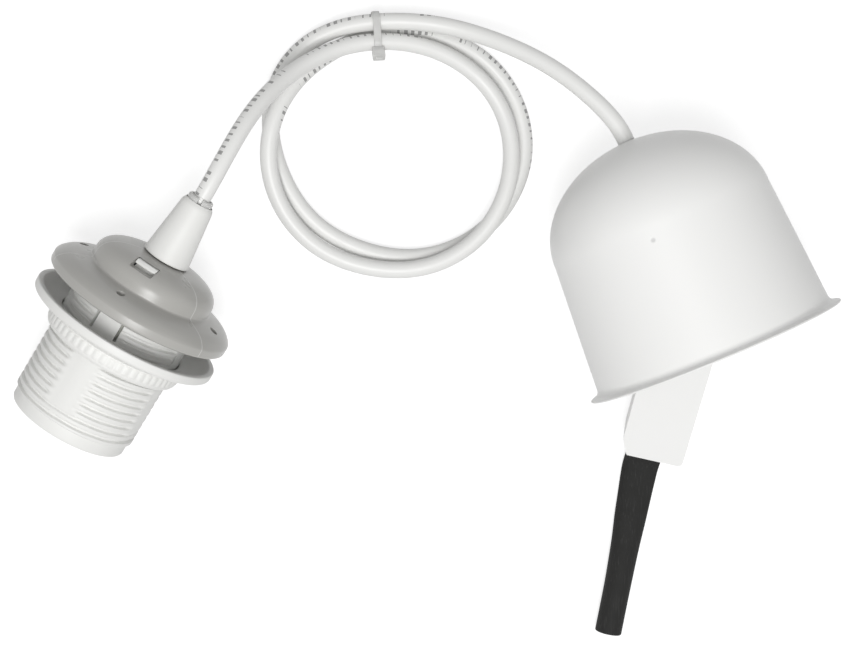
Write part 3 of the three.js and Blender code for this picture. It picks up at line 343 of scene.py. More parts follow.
def thread_recipe() -> Recipe:
    """Cuts a helical groove into a round wall, broken by smooth panels.

    Returns:
        The recipe; it moves the points whose outer attribute is 1 towards the axis.
    """
    labels = ["Pitch", "First Groove", "Depth", "Groove Mouth", "Groove Root", "Lowest", "Highest",
              "Panel Count", "Panel Angle", "Panel Span", "Panel Drop", "Panel Start", "Panel Fade"]
    tree = Recipe("helical_thread", dict.fromkeys(labels, float))
    pitch, first, depth, mouth, root, lowest, highest, count, turned, span, drop, start, fade = (
        tree.put[label] for label in labels)
    lead_in, rise, margin = 0.2, 3.0, 1.2
    place = tree.term("GeometryNodeInputPosition")
    angle, reach, height = tree.polar(place)
    turns = (height - first) / pitch - (angle / math.tau).do("FRACT")
    off = (turns - turns.do("ROUND")).do("ABSOLUTE") * pitch
    groove = tree.ramp(off, mouth * 0.5, root * 0.5) * tree.ramp(turns, -0.5, lead_in - 0.5)
    step = (angle / math.tau - turned / 360.0) * count
    degrees = ((step + 0.5).do("FRACT") - 0.5).do("ABSOLUTE") * (360.0 / count)
    half, upper = span * 0.5, tree.ramp(height, start, start + rise)
    panel = tree.ramp(degrees, half + fade * 0.5, half - fade * 0.5) * upper
    smooth = tree.ramp(degrees, half + fade, half - margin) * upper
    inward = groove * depth * (1.0 - smooth) + panel * drop
    flag = tree.term("GeometryNodeInputNamedAttribute", {"Name": OUTER}, "Attribute", data_type="FLOAT")
    return tree.outward(place, reach, inward * ((height > lowest) * (height < highest)) * flag * -1.0)


def knurl_recipe() -> Recipe:
    """Raises upright grip ribs on a band of a round body.

    Returns:
        The recipe.
    """
    labels = ["Count", "Depth", "Lowest", "Highest", "Least Radius"]
    tree = Recipe("knurled_band", dict.fromkeys(labels, float))
    count, depth, lowest, highest, least = (tree.put[label] for label in labels)
    ease, fullness = 0.3, 0.6
    place = tree.term("GeometryNodeInputPosition")
    angle, reach, height = tree.polar(place)
    wave = (angle * count).do("COSINE") * 0.5 + 0.5
    band = tree.ramp(height, lowest, lowest + ease) * tree.ramp(height, highest, highest - ease)
    return tree.outward(place, reach, wave ** fullness * (band * (reach > least)) * depth)


def cutting_recipe() -> Recipe:
    """Cuts a ring of equal holes.

    Returns:
        The recipe; its cutter stands at angle 0, and the copies are spread evenly round the Z axis.
    """
    tree = Recipe("ring_of_holes", {"Cutter": Object, "Count": int, "First Angle": float})
    count = tree.put["Count"]
    turn = tree.term("GeometryNodeInputIndex") * (math.tau / count) + tree.put["First Angle"]
    cutter = tree.term("GeometryNodeObjectInfo", {"Object": tree.put["Cutter"]}, "Geometry",
                       transform_space="ORIGINAL")
    copies = tree.term("GeometryNodeInstanceOnPoints", {
        "Points": tree.term("GeometryNodePoints", {"Count": count}), "Instance": cutter,
        "Rotation": tree.term("ShaderNodeCombineXYZ", {"Z": turn})})
    real = tree.term("GeometryNodeRealizeInstances", {0: copies})
    return tree.close(tree.term("GeometryNodeMeshBoolean", {0: tree.put["Geometry"], 1: real},
                                operation="DIFFERENCE"))


def sheath_recipe() -> Recipe:
    """Draws a round sheath along a line of edges.

    Returns:
        The recipe; the sheath keeps its run along the line and its turn round it as attributes.
    """
    tree = Recipe("round_sheath", {"Radius": float, "Sides": int})
    line = tree.term("GeometryNodeMeshToCurve", {0: tree.put["Geometry"]})
    upright = tree.term("GeometryNodeSetCurveNormal", {0: line}, mode="Z_UP")
    ring = tree.term("GeometryNodeCurvePrimitiveCircle", {
        "Resolution": tree.put["Sides"], "Radius": tree.put["Radius"]}, mode="RADIUS")
    marked, turned = (
        tree.term("GeometryNodeStoreNamedAttribute", {"Geometry": curve, "Name": name, "Value": value},
                  data_type=kind, domain="POINT")
        for curve, name, value, kind in (
            (upright, RUN, tree.term("GeometryNodeSplineParameter", output="Length"), "FLOAT"),
            (ring, TURN, tree.term("GeometryNodeInputPosition"), "FLOAT_VECTOR")))
    return tree.close(tree.term("GeometryNodeCurveToMesh", {
        "Curve": marked, "Profile Curve": turned, "Fill Caps": True}))


# Finishes


def moulded_skin(sheet: NodeSheet, put: Mapping[str, Term]) -> dict[str, Term]:
    """The skin of moulded plastic: a slow drift of shade, patches of polish and a fine grain.

    Args:
        sheet: the group's sheet.
        put: its inputs.

    Returns:
        What feeds each output.
    """
    finer = 3.7
    place, scale = sheet.term("ShaderNodeTexCoord", output="Object"), put["Drift Scale"]
    drift = (sheet.noise(place, scale, 3.0) - 0.5) * put["Drift"] + 0.5
    colour = sheet.term("ShaderNodeMix", {0: drift, 6: put["Shade"], 7: put["Colour"]}, 2, data_type="RGBA")
    rough = put["Roughness"] + (sheet.noise(place, scale * finer, 2.0) - 0.5) * put["Polish Spread"]
    grain = sheet.noise(place, put["Grain Scale"], 4.0, 0.6)
    return {"Colour": colour, "Roughness": rough, "Height": grain}


def hairlines(sheet: NodeSheet, put: Mapping[str, Term]) -> dict[str, Term]:
    """Fine lines that run one way, as on drawn metal or an extruded tube.

    Args:
        sheet: the group's sheet.
        put: its inputs.

    Returns:
        What feeds each output.
    """
    place = sheet.term("ShaderNodeTexCoord", output="Object")
    drawn = sheet.term("ShaderNodeVectorMath", {0: place, 1: put["Stretch"]}, operation="MULTIPLY")
    faint, clear = 0.52, 0.72
    lines = sheet.noise(drawn, 1.0, 5.0)
    return {"Height": lines, "Mask": sheet.ramp(lines, faint, clear)}


def parting_lines(sheet: NodeSheet, put: Mapping[str, Term]) -> dict[str, Term]:
    """The lines that a mould leaves where it opens, at even angles round a turned body.

    Args:
        sheet: the group's sheet.
        put: its inputs.

    Returns:
        What feeds each output.
    """
    angle, reach, _ = sheet.polar(put["Place"])
    step = 360.0 / put["Count"]
    part = (angle * math.degrees(1.0) - put["First"]) / step
    off = ((part + 0.5).do("FRACT") - 0.5).do("ABSOLUTE")
    return {"Mask": sheet.ramp(off * (step * math.radians(1.0)) * reach, put["Width"], 0.0)}


SHARED = {
    moulded_skin: (
        {"Colour": "Color", "Shade": "Color", "Drift": "Float", "Drift Scale": "Float",
         "Roughness": "Float", "Polish Spread": "Float", "Grain Scale": "Float"},
        {"Colour": "Color", "Roughness": "Float", "Height": "Float"}),
    hairlines: ({"Stretch": "Vector"}, {"Height": "Float", "Mask": "Float"}),
    parting_lines: (
        {"Place": "Vector", "Count": "Float", "First": "Float", "Width": "Float"}, {"Mask": "Float"}),
}


@cache
def shared_group(build: Callable) -> bpy.types.NodeTree:
    """Makes a shader node group that several finishes share, once.

    Args:
        build: the function of SHARED that adds its nodes.

    Returns:
        The group.
    """
    tree = bpy.data.node_groups.new(build.__name__, "ShaderNodeTree")
    for way, sockets in zip(("INPUT", "OUTPUT"), SHARED[build]):
        for label, kind in sockets.items():
            tree.interface.new_socket(label, in_out=way, socket_type="NodeSocket" + kind)
    sheet = NodeSheet(tree)
    put = {socket.name: Term(sheet, socket) for socket in sheet.node("NodeGroupInput").outputs}
    sheet.node("NodeGroupOutput", build(sheet, put))
    return tree


def linear(level: Union[float, Colour]) -> tuple[float, float, float, float]:
    """Turns display levels from 0 to 255 into a linear colour.

    Args:
        level: one level for a neutral tone, or three.

    Returns:
        The colour with full opacity.
    """
    levels = (level,) * 3 if isinstance(level, (int, float)) else level
    shares = [v / 255 for v in levels]
    return tuple(v / 12.92 if v <= 0.04045 else ((v + 0.055) / 1.055) ** 2.4 for v in shares) + (1.0,)


def emptied(owner: Union[bpy.types.Material, bpy.types.World]) -> bpy.types.NodeTree:
    """Gives a new material or world an empty node tree.

    Args:
        owner: the material or the world.

    Returns:
        The tree.
    """
    owner.use_nodes = True
    owner.node_tree.nodes.clear()
    return owner.node_tree


class Coat(NodeSheet):
    """A material that is being made, with its shader and its skin."""

    def __init__(self, finish: "Finish") -> None:
        """Makes the shader and gives it the skin of moulded plastic.

        Args:
            finish: the finish that the coat is made for.
        """
        self.material = bpy.data.materials.new(finish.name)
        super().__init__(emptied(self.material))
        self.shader = self.node("ShaderNodeBsdfPrincipled")
        self.node("ShaderNodeOutputMaterial", {"Surface": self.shader.outputs[0]})
        skin = self.shared(moulded_skin, {
            "Colour": linear(finish.tone), "Shade": linear(finish.shade), "Drift": finish.drift,
            "Drift Scale": finish.drift_scale, "Roughness": finish.roughness,
            "Polish Spread": finish.polish_spread, "Grain Scale": finish.grain_scale})
        self.colour = skin["Colour"]
        self.set({"Base Color": self.colour, "Roughness": skin["Roughness"]})
        self.bump(skin["Height"], finish.grain, finish.grain_height)

    def set(self, inputs: Mapping[str, Value]) -> None:
        """Sets or feeds the shader's inputs."""
        for name, value in inputs.items():
            self.feed(self.shader.inputs[name], value)

    def shared(self, build: Callable, inputs: Mapping[str, Value]) -> dict[str, Term]:
        """Adds a shared group and returns its outputs."""
        node = self.node("ShaderNodeGroup", inputs, node_tree=shared_group(build))
        return {socket.name: Term(self, socket) for socket in node.outputs}

    def kept(self, name: str, output: str = "Vector") -> Term:
        """Reads an attribute of the mesh."""
        return self.term("ShaderNodeAttribute", output=output, attribute_name=name)

    def bump(self, height: Term, strength: float, distance: float) -> None:
        """Adds relief on what relief there is.

        Args:
            height: the relief.
            strength: its strength.
            distance: its height in metres.
        """
        links = self.shader.inputs["Normal"].links
        below = links[0].from_socket if links else None
        self.set({"Normal": self.term("ShaderNodeBump", {
            "Height": height, "Strength": strength, "Distance": distance, "Normal": below})})

    def blend(self, share: Term, tone: Union[float, Colour]) -> None:
        """Mixes a share of another tone into the skin's colour."""
        self.set({"Base Color": self.term(
            "ShaderNodeMix", {0: share, 6: self.colour, 7: linear(tone)}, 2, data_type="RGBA")})


@dataclass(frozen=True)
class Finish:
    """A finish with what all of them have."""

    name: str
    tone: Colour
    shade: Colour
    roughness: float
    drift: float = 0.35
    drift_scale: float = 45.0
    polish_spread: float = 0.12
    grain_scale: float = 2200.0
    grain: float = 0.05
    grain_height: float = 0.00012

    def dress(self, coat: Coat) -> None:
        """Adds what this kind of finish has of its own."""

    def make(self) -> bpy.types.Material:
        """Makes the material.

        Returns:
            The material.
        """
        coat = Coat(self)
        self.dress(coat)
        return coat.material


@dataclass(frozen=True)
class MouldedPlastic(Finish):
    """Moulded plastic, with parting lines where its mould opened and a pit where it was filled, the pit
    darkened with painted shade.
    """

    gloss: float = 0.5
    seam_count: int = 0
    seam_first: float = 0.0
    seam_width: float = 0.26
    seam_strength: float = 0.8
    seam_height: float = 0.00006
    seam_share: float = 0.0
    seam_tone: float = 235
    gate: Optional[tuple[float, float, float]] = None
    gate_size: float = 1.0
    gate_floor: float = 0.3
    gate_depth: float = 0.0001
    # The pit's tone and share are painted shade that darkens the pit towards its middle.
    gate_share: float = 0.6
    gate_tone: float = 190

    def dress(self, coat: Coat) -> None:
        """Adds the gloss, the parting lines and the pit, whose darker middle is painted shade.

        Args:
            coat: the material's coat.
        """
        coat.set({"Specular IOR Level": self.gloss})
        if self.seam_count:
            mask = coat.shared(parting_lines, {
                "Place": coat.kept(OWN_PLACE), "Count": self.seam_count, "First": self.seam_first,
                "Width": self.seam_width})["Mask"]
            coat.bump(mask, self.seam_strength, self.seam_height)
            if self.seam_share:
                coat.blend(mask * self.seam_share, self.seam_tone)
        if self.gate:
            away = coat.term("ShaderNodeVectorMath", {0: coat.kept(OWN_PLACE), 1: self.gate}, "Value",
                             operation="DISTANCE")
            pit = coat.ramp(away, self.gate_floor * self.gate_size, self.gate_size, 1.0, 0.0)
            coat.bump(1.0 - pit, 1.0, self.gate_depth)
            # Painted shade: the pit's colour darkens towards its middle, where the dimple is deepest.
            coat.blend(pit * self.gate_share, self.gate_tone)


@dataclass(frozen=True)
class FrostedNylon(Finish):
    """Natural nylon, which lets some light through."""

    clearness: float = 0.3
    bending: float = 1.5

    def dress(self, coat: Coat) -> None:
        """Lets light through the coat."""
        coat.set({"Transmission Weight": self.clearness, "IOR": self.bending})


@dataclass(frozen=True)
class CordSheath(Finish):
    """The cord's sheath: satin, with a row of plain short ticks.

    The row stands first_turn degrees to the left of the top, and each of the turns adds, from one run along
    the cord to another, some degrees more.
    """

    radius: float = 2.7
    tick_tone: Colour = (110, 110, 110)
    tick_share: float = 0.75
    tick_width: float = 0.92
    tick_step: float = 2.2
    tick_gap: float = 0.42
    group_step: float = 58.0
    group_share: float = 0.86
    first_turn: float = 50.0
    turns: Sequence[tuple[float, float, float]] = (
        (42, 62, 16), (90, 125, 124), (224, 268, 70), (268, 285, 60), (300, 370, 90), (375, 425, 60),
        (505, 540, -55), (575, 600, 80))

    def dress(self, coat: Coat) -> None:
        """Prints the ticks along the run of the cord.

        Args:
            coat: the material's coat.
        """
        run = coat.kept(RUN, "Fac")
        x, y, _ = coat.split(coat.kept(TURN))
        sway = self.first_turn
        for start, end, turned in self.turns:
            sway = coat.ramp(run, start, end, 0.0, turned) + sway
        line = y.do("ARCTAN2", x) + math.pi / 2 + sway.do("RADIANS")
        off = line.do("WRAP", math.pi, -math.pi).do("ABSOLUTE")
        step = run / self.tick_step
        chosen = coat.term(
            "ShaderNodeTexWhiteNoise", {"W": step.do("FLOOR")}, "Value", noise_dimensions="1D")
        dash = step.do("FRACT") < chosen * (1.0 - self.tick_gap)
        group = (run / self.group_step).do("FRACT") < self.group_share
        coat.blend((off * self.radius < self.tick_width) * dash * group * self.tick_share, self.tick_tone)


@dataclass(frozen=True)
class HeatSleeve(Finish):
    """A soft black tube, dull, with faint lines along it and a little dust."""

    gloss: float = 0.3
    stretch: tuple[float, float, float] = (2400.0, 160.0, 2400.0)
    line_strength: float = 0.25
    line_height: float = 0.00008
    dust_share: float = 0.12
    dust_tone: float = 96

    def dress(self, coat: Coat) -> None:
        """Adds the lines and the dust.

        Args:
            coat: the material's coat.
        """
        coat.set({"Specular IOR Level": self.gloss})
        lines = coat.shared(hairlines, {"Stretch": self.stretch})
        coat.blend(lines["Mask"] * self.dust_share, self.dust_tone)
        coat.bump(lines["Height"], self.line_strength, self.line_height)


@dataclass(frozen=True)
class Metal(Finish):
    """Pressed or turned metal with fine hairlines."""

    stretch: tuple[float, float, float] = (300.0, 300.0, 5200.0)
    line_strength: float = 0.2
    line_height: float = 0.00005

    def dress(self, coat: Coat) -> None:
        """Adds the hairlines and makes it metal.

        Args:
            coat: the material's coat.
        """
        coat.set({"Metallic": 1.0})
        lines = coat.shared(hairlines, {"Stretch": self.stretch})
        coat.bump(lines["Height"], self.line_strength, self.line_height)


FINISHES: dict[Slot, Finish] = {
    Slot.HOLDER_WHITE: MouldedPlastic(
        "moulded_white", (236, 236, 234), (224, 224, 221), 0.48, gloss=0.4, seam_count=2, seam_first=28.7),
    Slot.CAP_GREY: MouldedPlastic(
        "moulded_grey", (176, 175, 171), (166, 165, 161), 0.3, gloss=0.5, seam_count=3, seam_first=18.0,
        seam_share=0.5),
    Slot.ROSE_WHITE: MouldedPlastic(
        "satin_white", (243, 243, 242), (236, 236, 234), 0.42, gloss=0.45, drift_scale=18.0,
        gate=(11.5, 33.8, 39.7)),
    Slot.IVORY: MouldedPlastic("dull_ivory", (222, 222, 214), (208, 208, 198), 0.55, gloss=0.4),
    Slot.FROSTED: FrostedNylon("frosted_nylon", (236, 236, 234), (222, 222, 220), 0.42),
    Slot.CORD_SHEATH: CordSheath("cord_sheath", (236, 236, 234), (226, 226, 224), 0.4, grain=0.03),
    Slot.BLACK_TUBE: HeatSleeve("soft_black", (32, 32, 31), (25, 25, 24), 0.75, grain=0.12),
    Slot.BROWN_WIRE: MouldedPlastic("brown_wire", (104, 62, 36), (88, 52, 30), 0.5),
    Slot.BLUE_WIRE: MouldedPlastic("blue_wire", (56, 104, 170), (46, 88, 150), 0.5),
    Slot.BRASS: Metal("pressed_brass", (214, 178, 104), (190, 150, 84), 0.26),
    Slot.STEEL: Metal("plated_steel", (196, 198, 200), (168, 170, 172), 0.3),
}


# Shapes


def added(name: str, data: bpy.types.ID) -> Object:
    """Makes an object in the scene.

    Args:
        name: its name.
        data: its mesh, lamp or camera.

    Returns:
        The object.
    """
    made = bpy.data.objects.new(name, data)
    bpy.context.scene.collection.objects.link(made)
    return made


def mesh_of(name: str, places: Iterable[Sequence[float]], faces: Sequence[Sequence[int]] = (),
            edges: Sequence[Sequence[int]] = ()) -> Mesh:
    """Makes a mesh.

    Args:
        name: its name.
        places: its points.
        faces: its faces, as numbers of points.
        edges: its loose edges.

    Returns:
        The mesh.
    """
    mesh = bpy.data.meshes.new(name)
    mesh.from_pydata([tuple(p) for p in places], [tuple(e) for e in edges], [tuple(f) for f in faces])
    mesh.update()
    return mesh


def eased(profile: Sequence[Corner], steps: int = 4) -> list[tuple[float, float]]:
    """Rounds the corners of a closed profile.

    Args:
        profile: its corners, each with how far its rounding reaches as an optional third number.
        steps: the points of each rounding.

    Returns:
        The profile's points.
    """
    made, most = [], 0.48
    for i, corner in enumerate(profile):
        here = Vector(corner[:2])
        reach = corner[2] if len(corner) > 2 else 0.0
        if not reach:
            made.append(tuple(here))
            continue
        before = Vector(profile[i - 1][:2]) - here
        after = Vector(profile[(i + 1) % len(profile)][:2]) - here
        start = here + before.normalized() * min(reach, most * before.length)
        end = here + after.normalized() * min(reach, most * after.length)
        for k in range(steps + 1):
            t = k / steps
            made.append(tuple(start * (1 - t) ** 2 + here * 2 * t * (1 - t) + end * t * t))
    return made


def mended(mesh: Mesh, sharp: float = SHARP_ANGLE) -> Mesh:
    """Merges doubles, turns the faces outwards and smooths the shading.

    Args:
        mesh: the mesh, which is changed.
        sharp: the angle in degrees above which an edge stays sharp.

    Returns:
        The same mesh.
    """
    work = bmesh.new()
    work.from_mesh(mesh)
    bmesh.ops.remove_doubles(work, verts=work.verts, dist=1e-5)
    bmesh.ops.recalc_face_normals(work, faces=work.faces)
    if work.calc_volume(signed=True) < 0:
        bmesh.ops.reverse_faces(work, faces=work.faces)
    for face in work.faces:
        face.smooth = True
    work.to_mesh(mesh)
    work.free()
    mesh.set_sharp_from_angle(angle=math.radians(sharp))
    return mesh


def slotted_wall(name: str, rows: Sequence[Sequence[float]], count: int, slits: Sequence[float] = (),
                 half: float = 0.0, start: float = 0.0, both: bool = False) -> Mesh:
    """Builds a round wall with an outside and an inside, with slits from a height upwards.

    Args:
        name: the mesh's name.
        rows: from the foot to the top, (outer radius, outer height, inner radius, inner height).
        count: how many even columns it has, apart from those on the slits' edges.
        slits: the slits' angles in degrees.
        half: half a slit's width, in degrees.
        start: the height at which the slits begin.
        both: whether the inside moves with the outside in a recipe.

    Returns:
        The closed mesh, with its outer attribute.
    """
    angles = columns_round(count, [(slit + side * half) % 360 for slit in slits for side in (-1, 1)])
    columns, levels, clear = len(angles), len(rows), half * 0.98
    places = []
    for angle in angles:
        c, s = math.cos(math.radians(angle)), math.sin(math.radians(angle))
        for outer_r, outer_z, inner_r, inner_z in rows:
            places.append((outer_r * c, outer_r * s, outer_z))
            places.append((inner_r * c, inner_r * s, inner_z))

    def spot(i: int, j: int, inside: int) -> int:
        """The number of a point."""
        return 2 * ((i % columns) * levels + j) + inside

    def there(i: int, j: int) -> bool:
        """Whether a cell is there.

        Args:
            i: its column.
            j: its row.

        Returns:
            False beyond the ends and in a slit.
        """
        if not 0 <= j < levels - 1:
            return False
        a, b = angles[i % columns], angles[(i + 1) % columns]
        middle = (a + (b if b > a else b + 360)) / 2 % 360
        return (rows[j][1] + rows[j + 1][1]) / 2 < start or all(
            abs((middle - slit + 180) % 360 - 180) > clear for slit in slits)

    faces = []
    for i in range(columns):
        for j in range(levels - 1):
            if not there(i, j):
                continue
            o, n = ([spot(i + di, j + dj, inside) for di, dj in ((0, 0), (1, 0), (1, 1), (0, 1))]
                    for inside in (0, 1))
            faces += [o, [n[0], n[3], n[2], n[1]]]
            faces += [face for di, dj, face in (
                (-1, 0, [o[0], o[3], n[3], n[0]]), (1, 0, [o[1], n[1], n[2], o[2]]),
                (0, -1, [o[0], n[0], n[1], o[1]]), (0, 1, [o[3], o[2], n[2], n[3]]))
                if not there(i + di, j + dj)]
    used = sorted({k for face in faces for k in face})
    number = {old: new for new, old in enumerate(used)}
    mesh = mesh_of(name, [places[k] for k in used], [[number[k] for k in face] for face in faces])
    flag = mesh.attributes.new(OUTER, "FLOAT", "POINT")
    flag.data.foreach_set("value", [1.0 if both or k % 2 == 0 else 0.0 for k in used])
    return mesh


def columns_round(count: int, edges: Sequence[float]) -> list[float]:
    """Spreads columns evenly round the axis and puts some on the edges of slits.

    Args:
        count: how many even columns.
        edges: the angles in degrees that need a column.

    Returns:
        The angles in degrees, in order.
    """
    step = 360 / count
    kept = [i * step for i in range(count)]
    for edge in edges:
        kept = [a for a in kept if abs((a - edge + 180) % 360 - 180) > step / 2 or a in edges]
        kept.append(edge % 360)
    return sorted(set(kept))


def prism(name: str, outline: Sequence[Corner], low: float, high: float, bevel: float = 0.0) -> Mesh:
    """Raises an outline into a prism along Z, with rounded edges.

    Args:
        name: the mesh's name.
        outline: its corners.
        low: its foot.
        high: its top.
        bevel: how far the edges are rounded.

    Returns:
        The mesh.
    """
    count = len(outline)
    places = [(x, y, z) for z in (low, high) for x, y in outline]
    faces = [list(range(count))[::-1], list(range(count, 2 * count))]
    faces += [[i, (i + 1) % count, count + (i + 1) % count, count + i] for i in range(count)]
    mesh = mesh_of(name, places, faces)
    return rounded(mesh, bevel) if bevel else mended(mesh)


def looped(name: str, sections: Sequence[Sequence[Sequence[float]]]) -> Mesh:
    """Joins sections of equally many points into a closed hoop.

    Args:
        name: the mesh's name.
        sections: the sections, in order; the last is joined to the first.

    Returns:
        The mesh.
    """
    n, m = len(sections), len(sections[0])
    faces = [[i * m + k, i * m + (k + 1) % m, (i + 1) % n * m + (k + 1) % m, (i + 1) % n * m + k]
             for i in range(n) for k in range(m)]
    return mended(mesh_of(name, [place for section in sections for place in section], faces), sharp=50)


def rounded(mesh: Mesh, width: float, segments: int = 3, limit: float = 35.0) -> Mesh:
    """Rounds a mesh's sharp edges.

    Args:
        mesh: the mesh, which is changed.
        width: how far the rounding reaches.
        segments: its steps.
        limit: the angle in degrees above which an edge is rounded.

    Returns:
        The same mesh.
    """
    work = bmesh.new()
    work.from_mesh(mesh)
    bmesh.ops.remove_doubles(work, verts=work.verts, dist=1e-6)
    bmesh.ops.dissolve_limit(work, angle_limit=math.radians(0.5), verts=work.verts, edges=work.edges)
    bmesh.ops.recalc_face_normals(work, faces=work.faces)
    sharp = [e for e in work.edges if len(e.link_faces) == 2 and e.calc_face_angle() > math.radians(limit)]
    bmesh.ops.bevel(work, geom=sharp, offset=width, segments=segments, profile=0.5, affect="EDGES",
                    clamp_overlap=True)
    work.to_mesh(mesh)
    work.free()
    return mended(mesh)


def joined(name: str, meshes: Sequence[Mesh]) -> Mesh:
    """Joins meshes into one.

    Args:
        name: the new mesh's name.
        meshes: the meshes, which are removed.

    Returns:
        The new mesh.
    """
    work = bmesh.new()
    for mesh in meshes:
        work.from_mesh(mesh)
        bpy.data.meshes.remove(mesh)
    made = bpy.data.meshes.new(name)
    work.to_mesh(made)
    work.free()
    made.set_sharp_from_angle(angle=math.radians(SHARP_ANGLE))
    return made


def turn_about(axis: str, degrees: float) -> Matrix:
    """A turn about an axis."""
    return Matrix.Rotation(math.radians(degrees), 4, axis)


def framed(x: Vector, y: Vector, z: Vector, place: Sequence[float]) -> Matrix:
    """Makes the frame of a part from its directions.

    Args:
        x: the direction of its X axis.
        y: that of its Y axis.
        z: that of its Z axis.
        place: its origin, in millimetres.

    Returns:
        The matrix from the part's millimetres to the row frame's metres.
    """
    matrix = Matrix((x, y, z)).transposed().to_4x4()
    matrix.translation = Vector(place)
    return TO_METRES @ matrix


def axis_frame(place: Sequence[float], heading: float, rise: float) -> Matrix:
    """The frame of a turned part: Z along its axis, X to its side in the plane, Y up.

    Args:
        place: a point on the axis, in millimetres.
        heading: the axis' direction in the plane, in degrees.
        rise: how far it points up, in degrees.

    Returns:
        The matrix from the part's millimetres to the row frame's metres.
    """
    h, r = math.radians(heading), math.radians(rise)
    axis = Vector((math.cos(h) * math.cos(r), math.sin(h) * math.cos(r), math.sin(r)))
    side = Vector((-math.sin(h), math.cos(h), 0))
    return framed(side, axis.cross(side), axis, place)


def cord_exit(frame: Matrix, height: float) -> tuple[Vector, Vector]:
    """A point on a part's axis in millimetres, and the axis."""
    point = (frame @ Vector((0, 0, height))) / MM
    return point, (frame.to_3x3() @ Vector((0, 0, 1))).normalized()


class Workshop:
    """What every sub-assembly uses: the frame's nodes, the recipes and the finishes."""

    def __init__(self) -> None:
        """Loads the frame, and makes the recipes and the materials."""
        self.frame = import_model()
        self.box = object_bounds()
        self.turning, self.threading, self.knurling = turning_recipe(), thread_recipe(), knurl_recipe()
        self.cutting, self.sheathing = cutting_recipe(), sheath_recipe()
        self.finishes = {slot: finish.make() for slot, finish in FINISHES.items()}

    def place(self, mesh: Mesh, node: str, frame: Matrix, slot: Slot, name: Optional[str] = None) -> Object:
        """Brings a finished mesh into the row frame as a piece.

        Args:
            mesh: the mesh, in its part's own frame.
            node: the CAD node that the piece stands for.
            frame: the part's frame.
            slot: the record's material slot.
            name: the piece's name, where it isn't fine_ and the node's.

        Returns:
            The piece.
        """
        own = mesh.attributes.new(OWN_PLACE, "FLOAT_VECTOR", "POINT")
        own.data.foreach_set("vector", [c for v in mesh.vertices for c in v.co])
        mesh.transform(frame)
        mesh.materials.clear()
        mesh.materials.append(self.finishes[slot])
        mesh.name = name or "fine_" + node
        piece = added(name or "fine_" + node, mesh)
        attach(piece, BODY)
        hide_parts(node)
        LOG.info("%s: %d faces", piece.name, len(mesh.polygons))
        return piece

    def turned(self, name: str, profile: Sequence[Corner], slot: Slot, segments: int) -> Mesh:
        """Turns a profile with rounded corners.

        Args:
            name: the mesh's name.
            profile: the profile's corners.
            slot: the finish.
            segments: the steps of a turn.

        Returns:
            The mesh.
        """
        line = eased(profile)
        edges = [(i, (i + 1) % len(line)) for i in range(len(line))]
        start = mesh_of(name, [(r, 0.0, z) for r, z in line], edges=edges)
        return mended(self.turning.run(start, self.finishes[slot], Segments=segments, Pivot=PIVOT))

    def keep(self, nodes: Mapping[str, Slot]) -> None:
        """Gives CAD nodes that stay as they are their finishes.

        Args:
            nodes: the finish of each node.
        """
        for node, slot in nodes.items():
            materials = self.frame["nodes"][node].data.materials
            materials.clear()
            materials.append(self.finishes[slot])

    def soften(self, nodes: Mapping[str, Slot], width: float = 0.2) -> None:
        """Replaces CAD nodes by their own shapes with rounded edges.

        Args:
            nodes: the finish of each node.
            width: how far the rounding reaches, in millimetres.
        """
        for node, slot in nodes.items():
            mesh = self.frame["nodes"][node].data.copy()
            mesh.transform(TO_MILLIMETRES)
            for attribute in [a.name for a in mesh.attributes if not (a.is_internal or a.is_required)]:
                mesh.attributes.remove(mesh.attributes[attribute])
            self.place(rounded(mesh, width), node, TO_METRES, slot)


@dataclass
class Assembly:
    """A sub-assembly, which is made in the workshop."""

    shop: Workshop


# The cord and its tie

CORD_ROUTE = [
    (-60, 80, 36.5), (-51.5, 92.5, 28.5), (-40.5, 102, 17.5), (-26, 110, 10.4), (-8, 112.2, 10.1),
    (9.5, 108, 8.2), (24.1, 97.1, 6.4), (31, 80.5, 7), (28.5, 62, 9.5), (18.5, 47, 8.5), (2, 38.5, 8),
    (-16.5, 39, 7), (-33.5, 45.5, 6), (-45.5, 59.5, 6.5), (-49.5, 77.5, 9.5), (-44, 94.5, 9),
    (-31.5, 106.5, 3.5), (-15, 114.5, 4.9), (3, 115, 4.2), (20.2, 108.6, 2.7), (32.1, 95.2, 2.7),
    (36.5, 77, 2.7), (30.5, 59.5, 2.7), (17.5, 47, 2.7), (0, 41.5, 2.7), (-18, 44.5, 2.7),
    (-34, 53, 2.7), (-44, 68, 2.7), (-48.5, 86.5, 2.7), (-43.5, 104.5, 2.7), (-29.5, 115.5, 6),
    (-11.5, 118, 10.4), (6.5, 117, 10.6), (22.5, 112, 16), (38, 104.5, 23), (50.5, 94.5, 28.5),
]


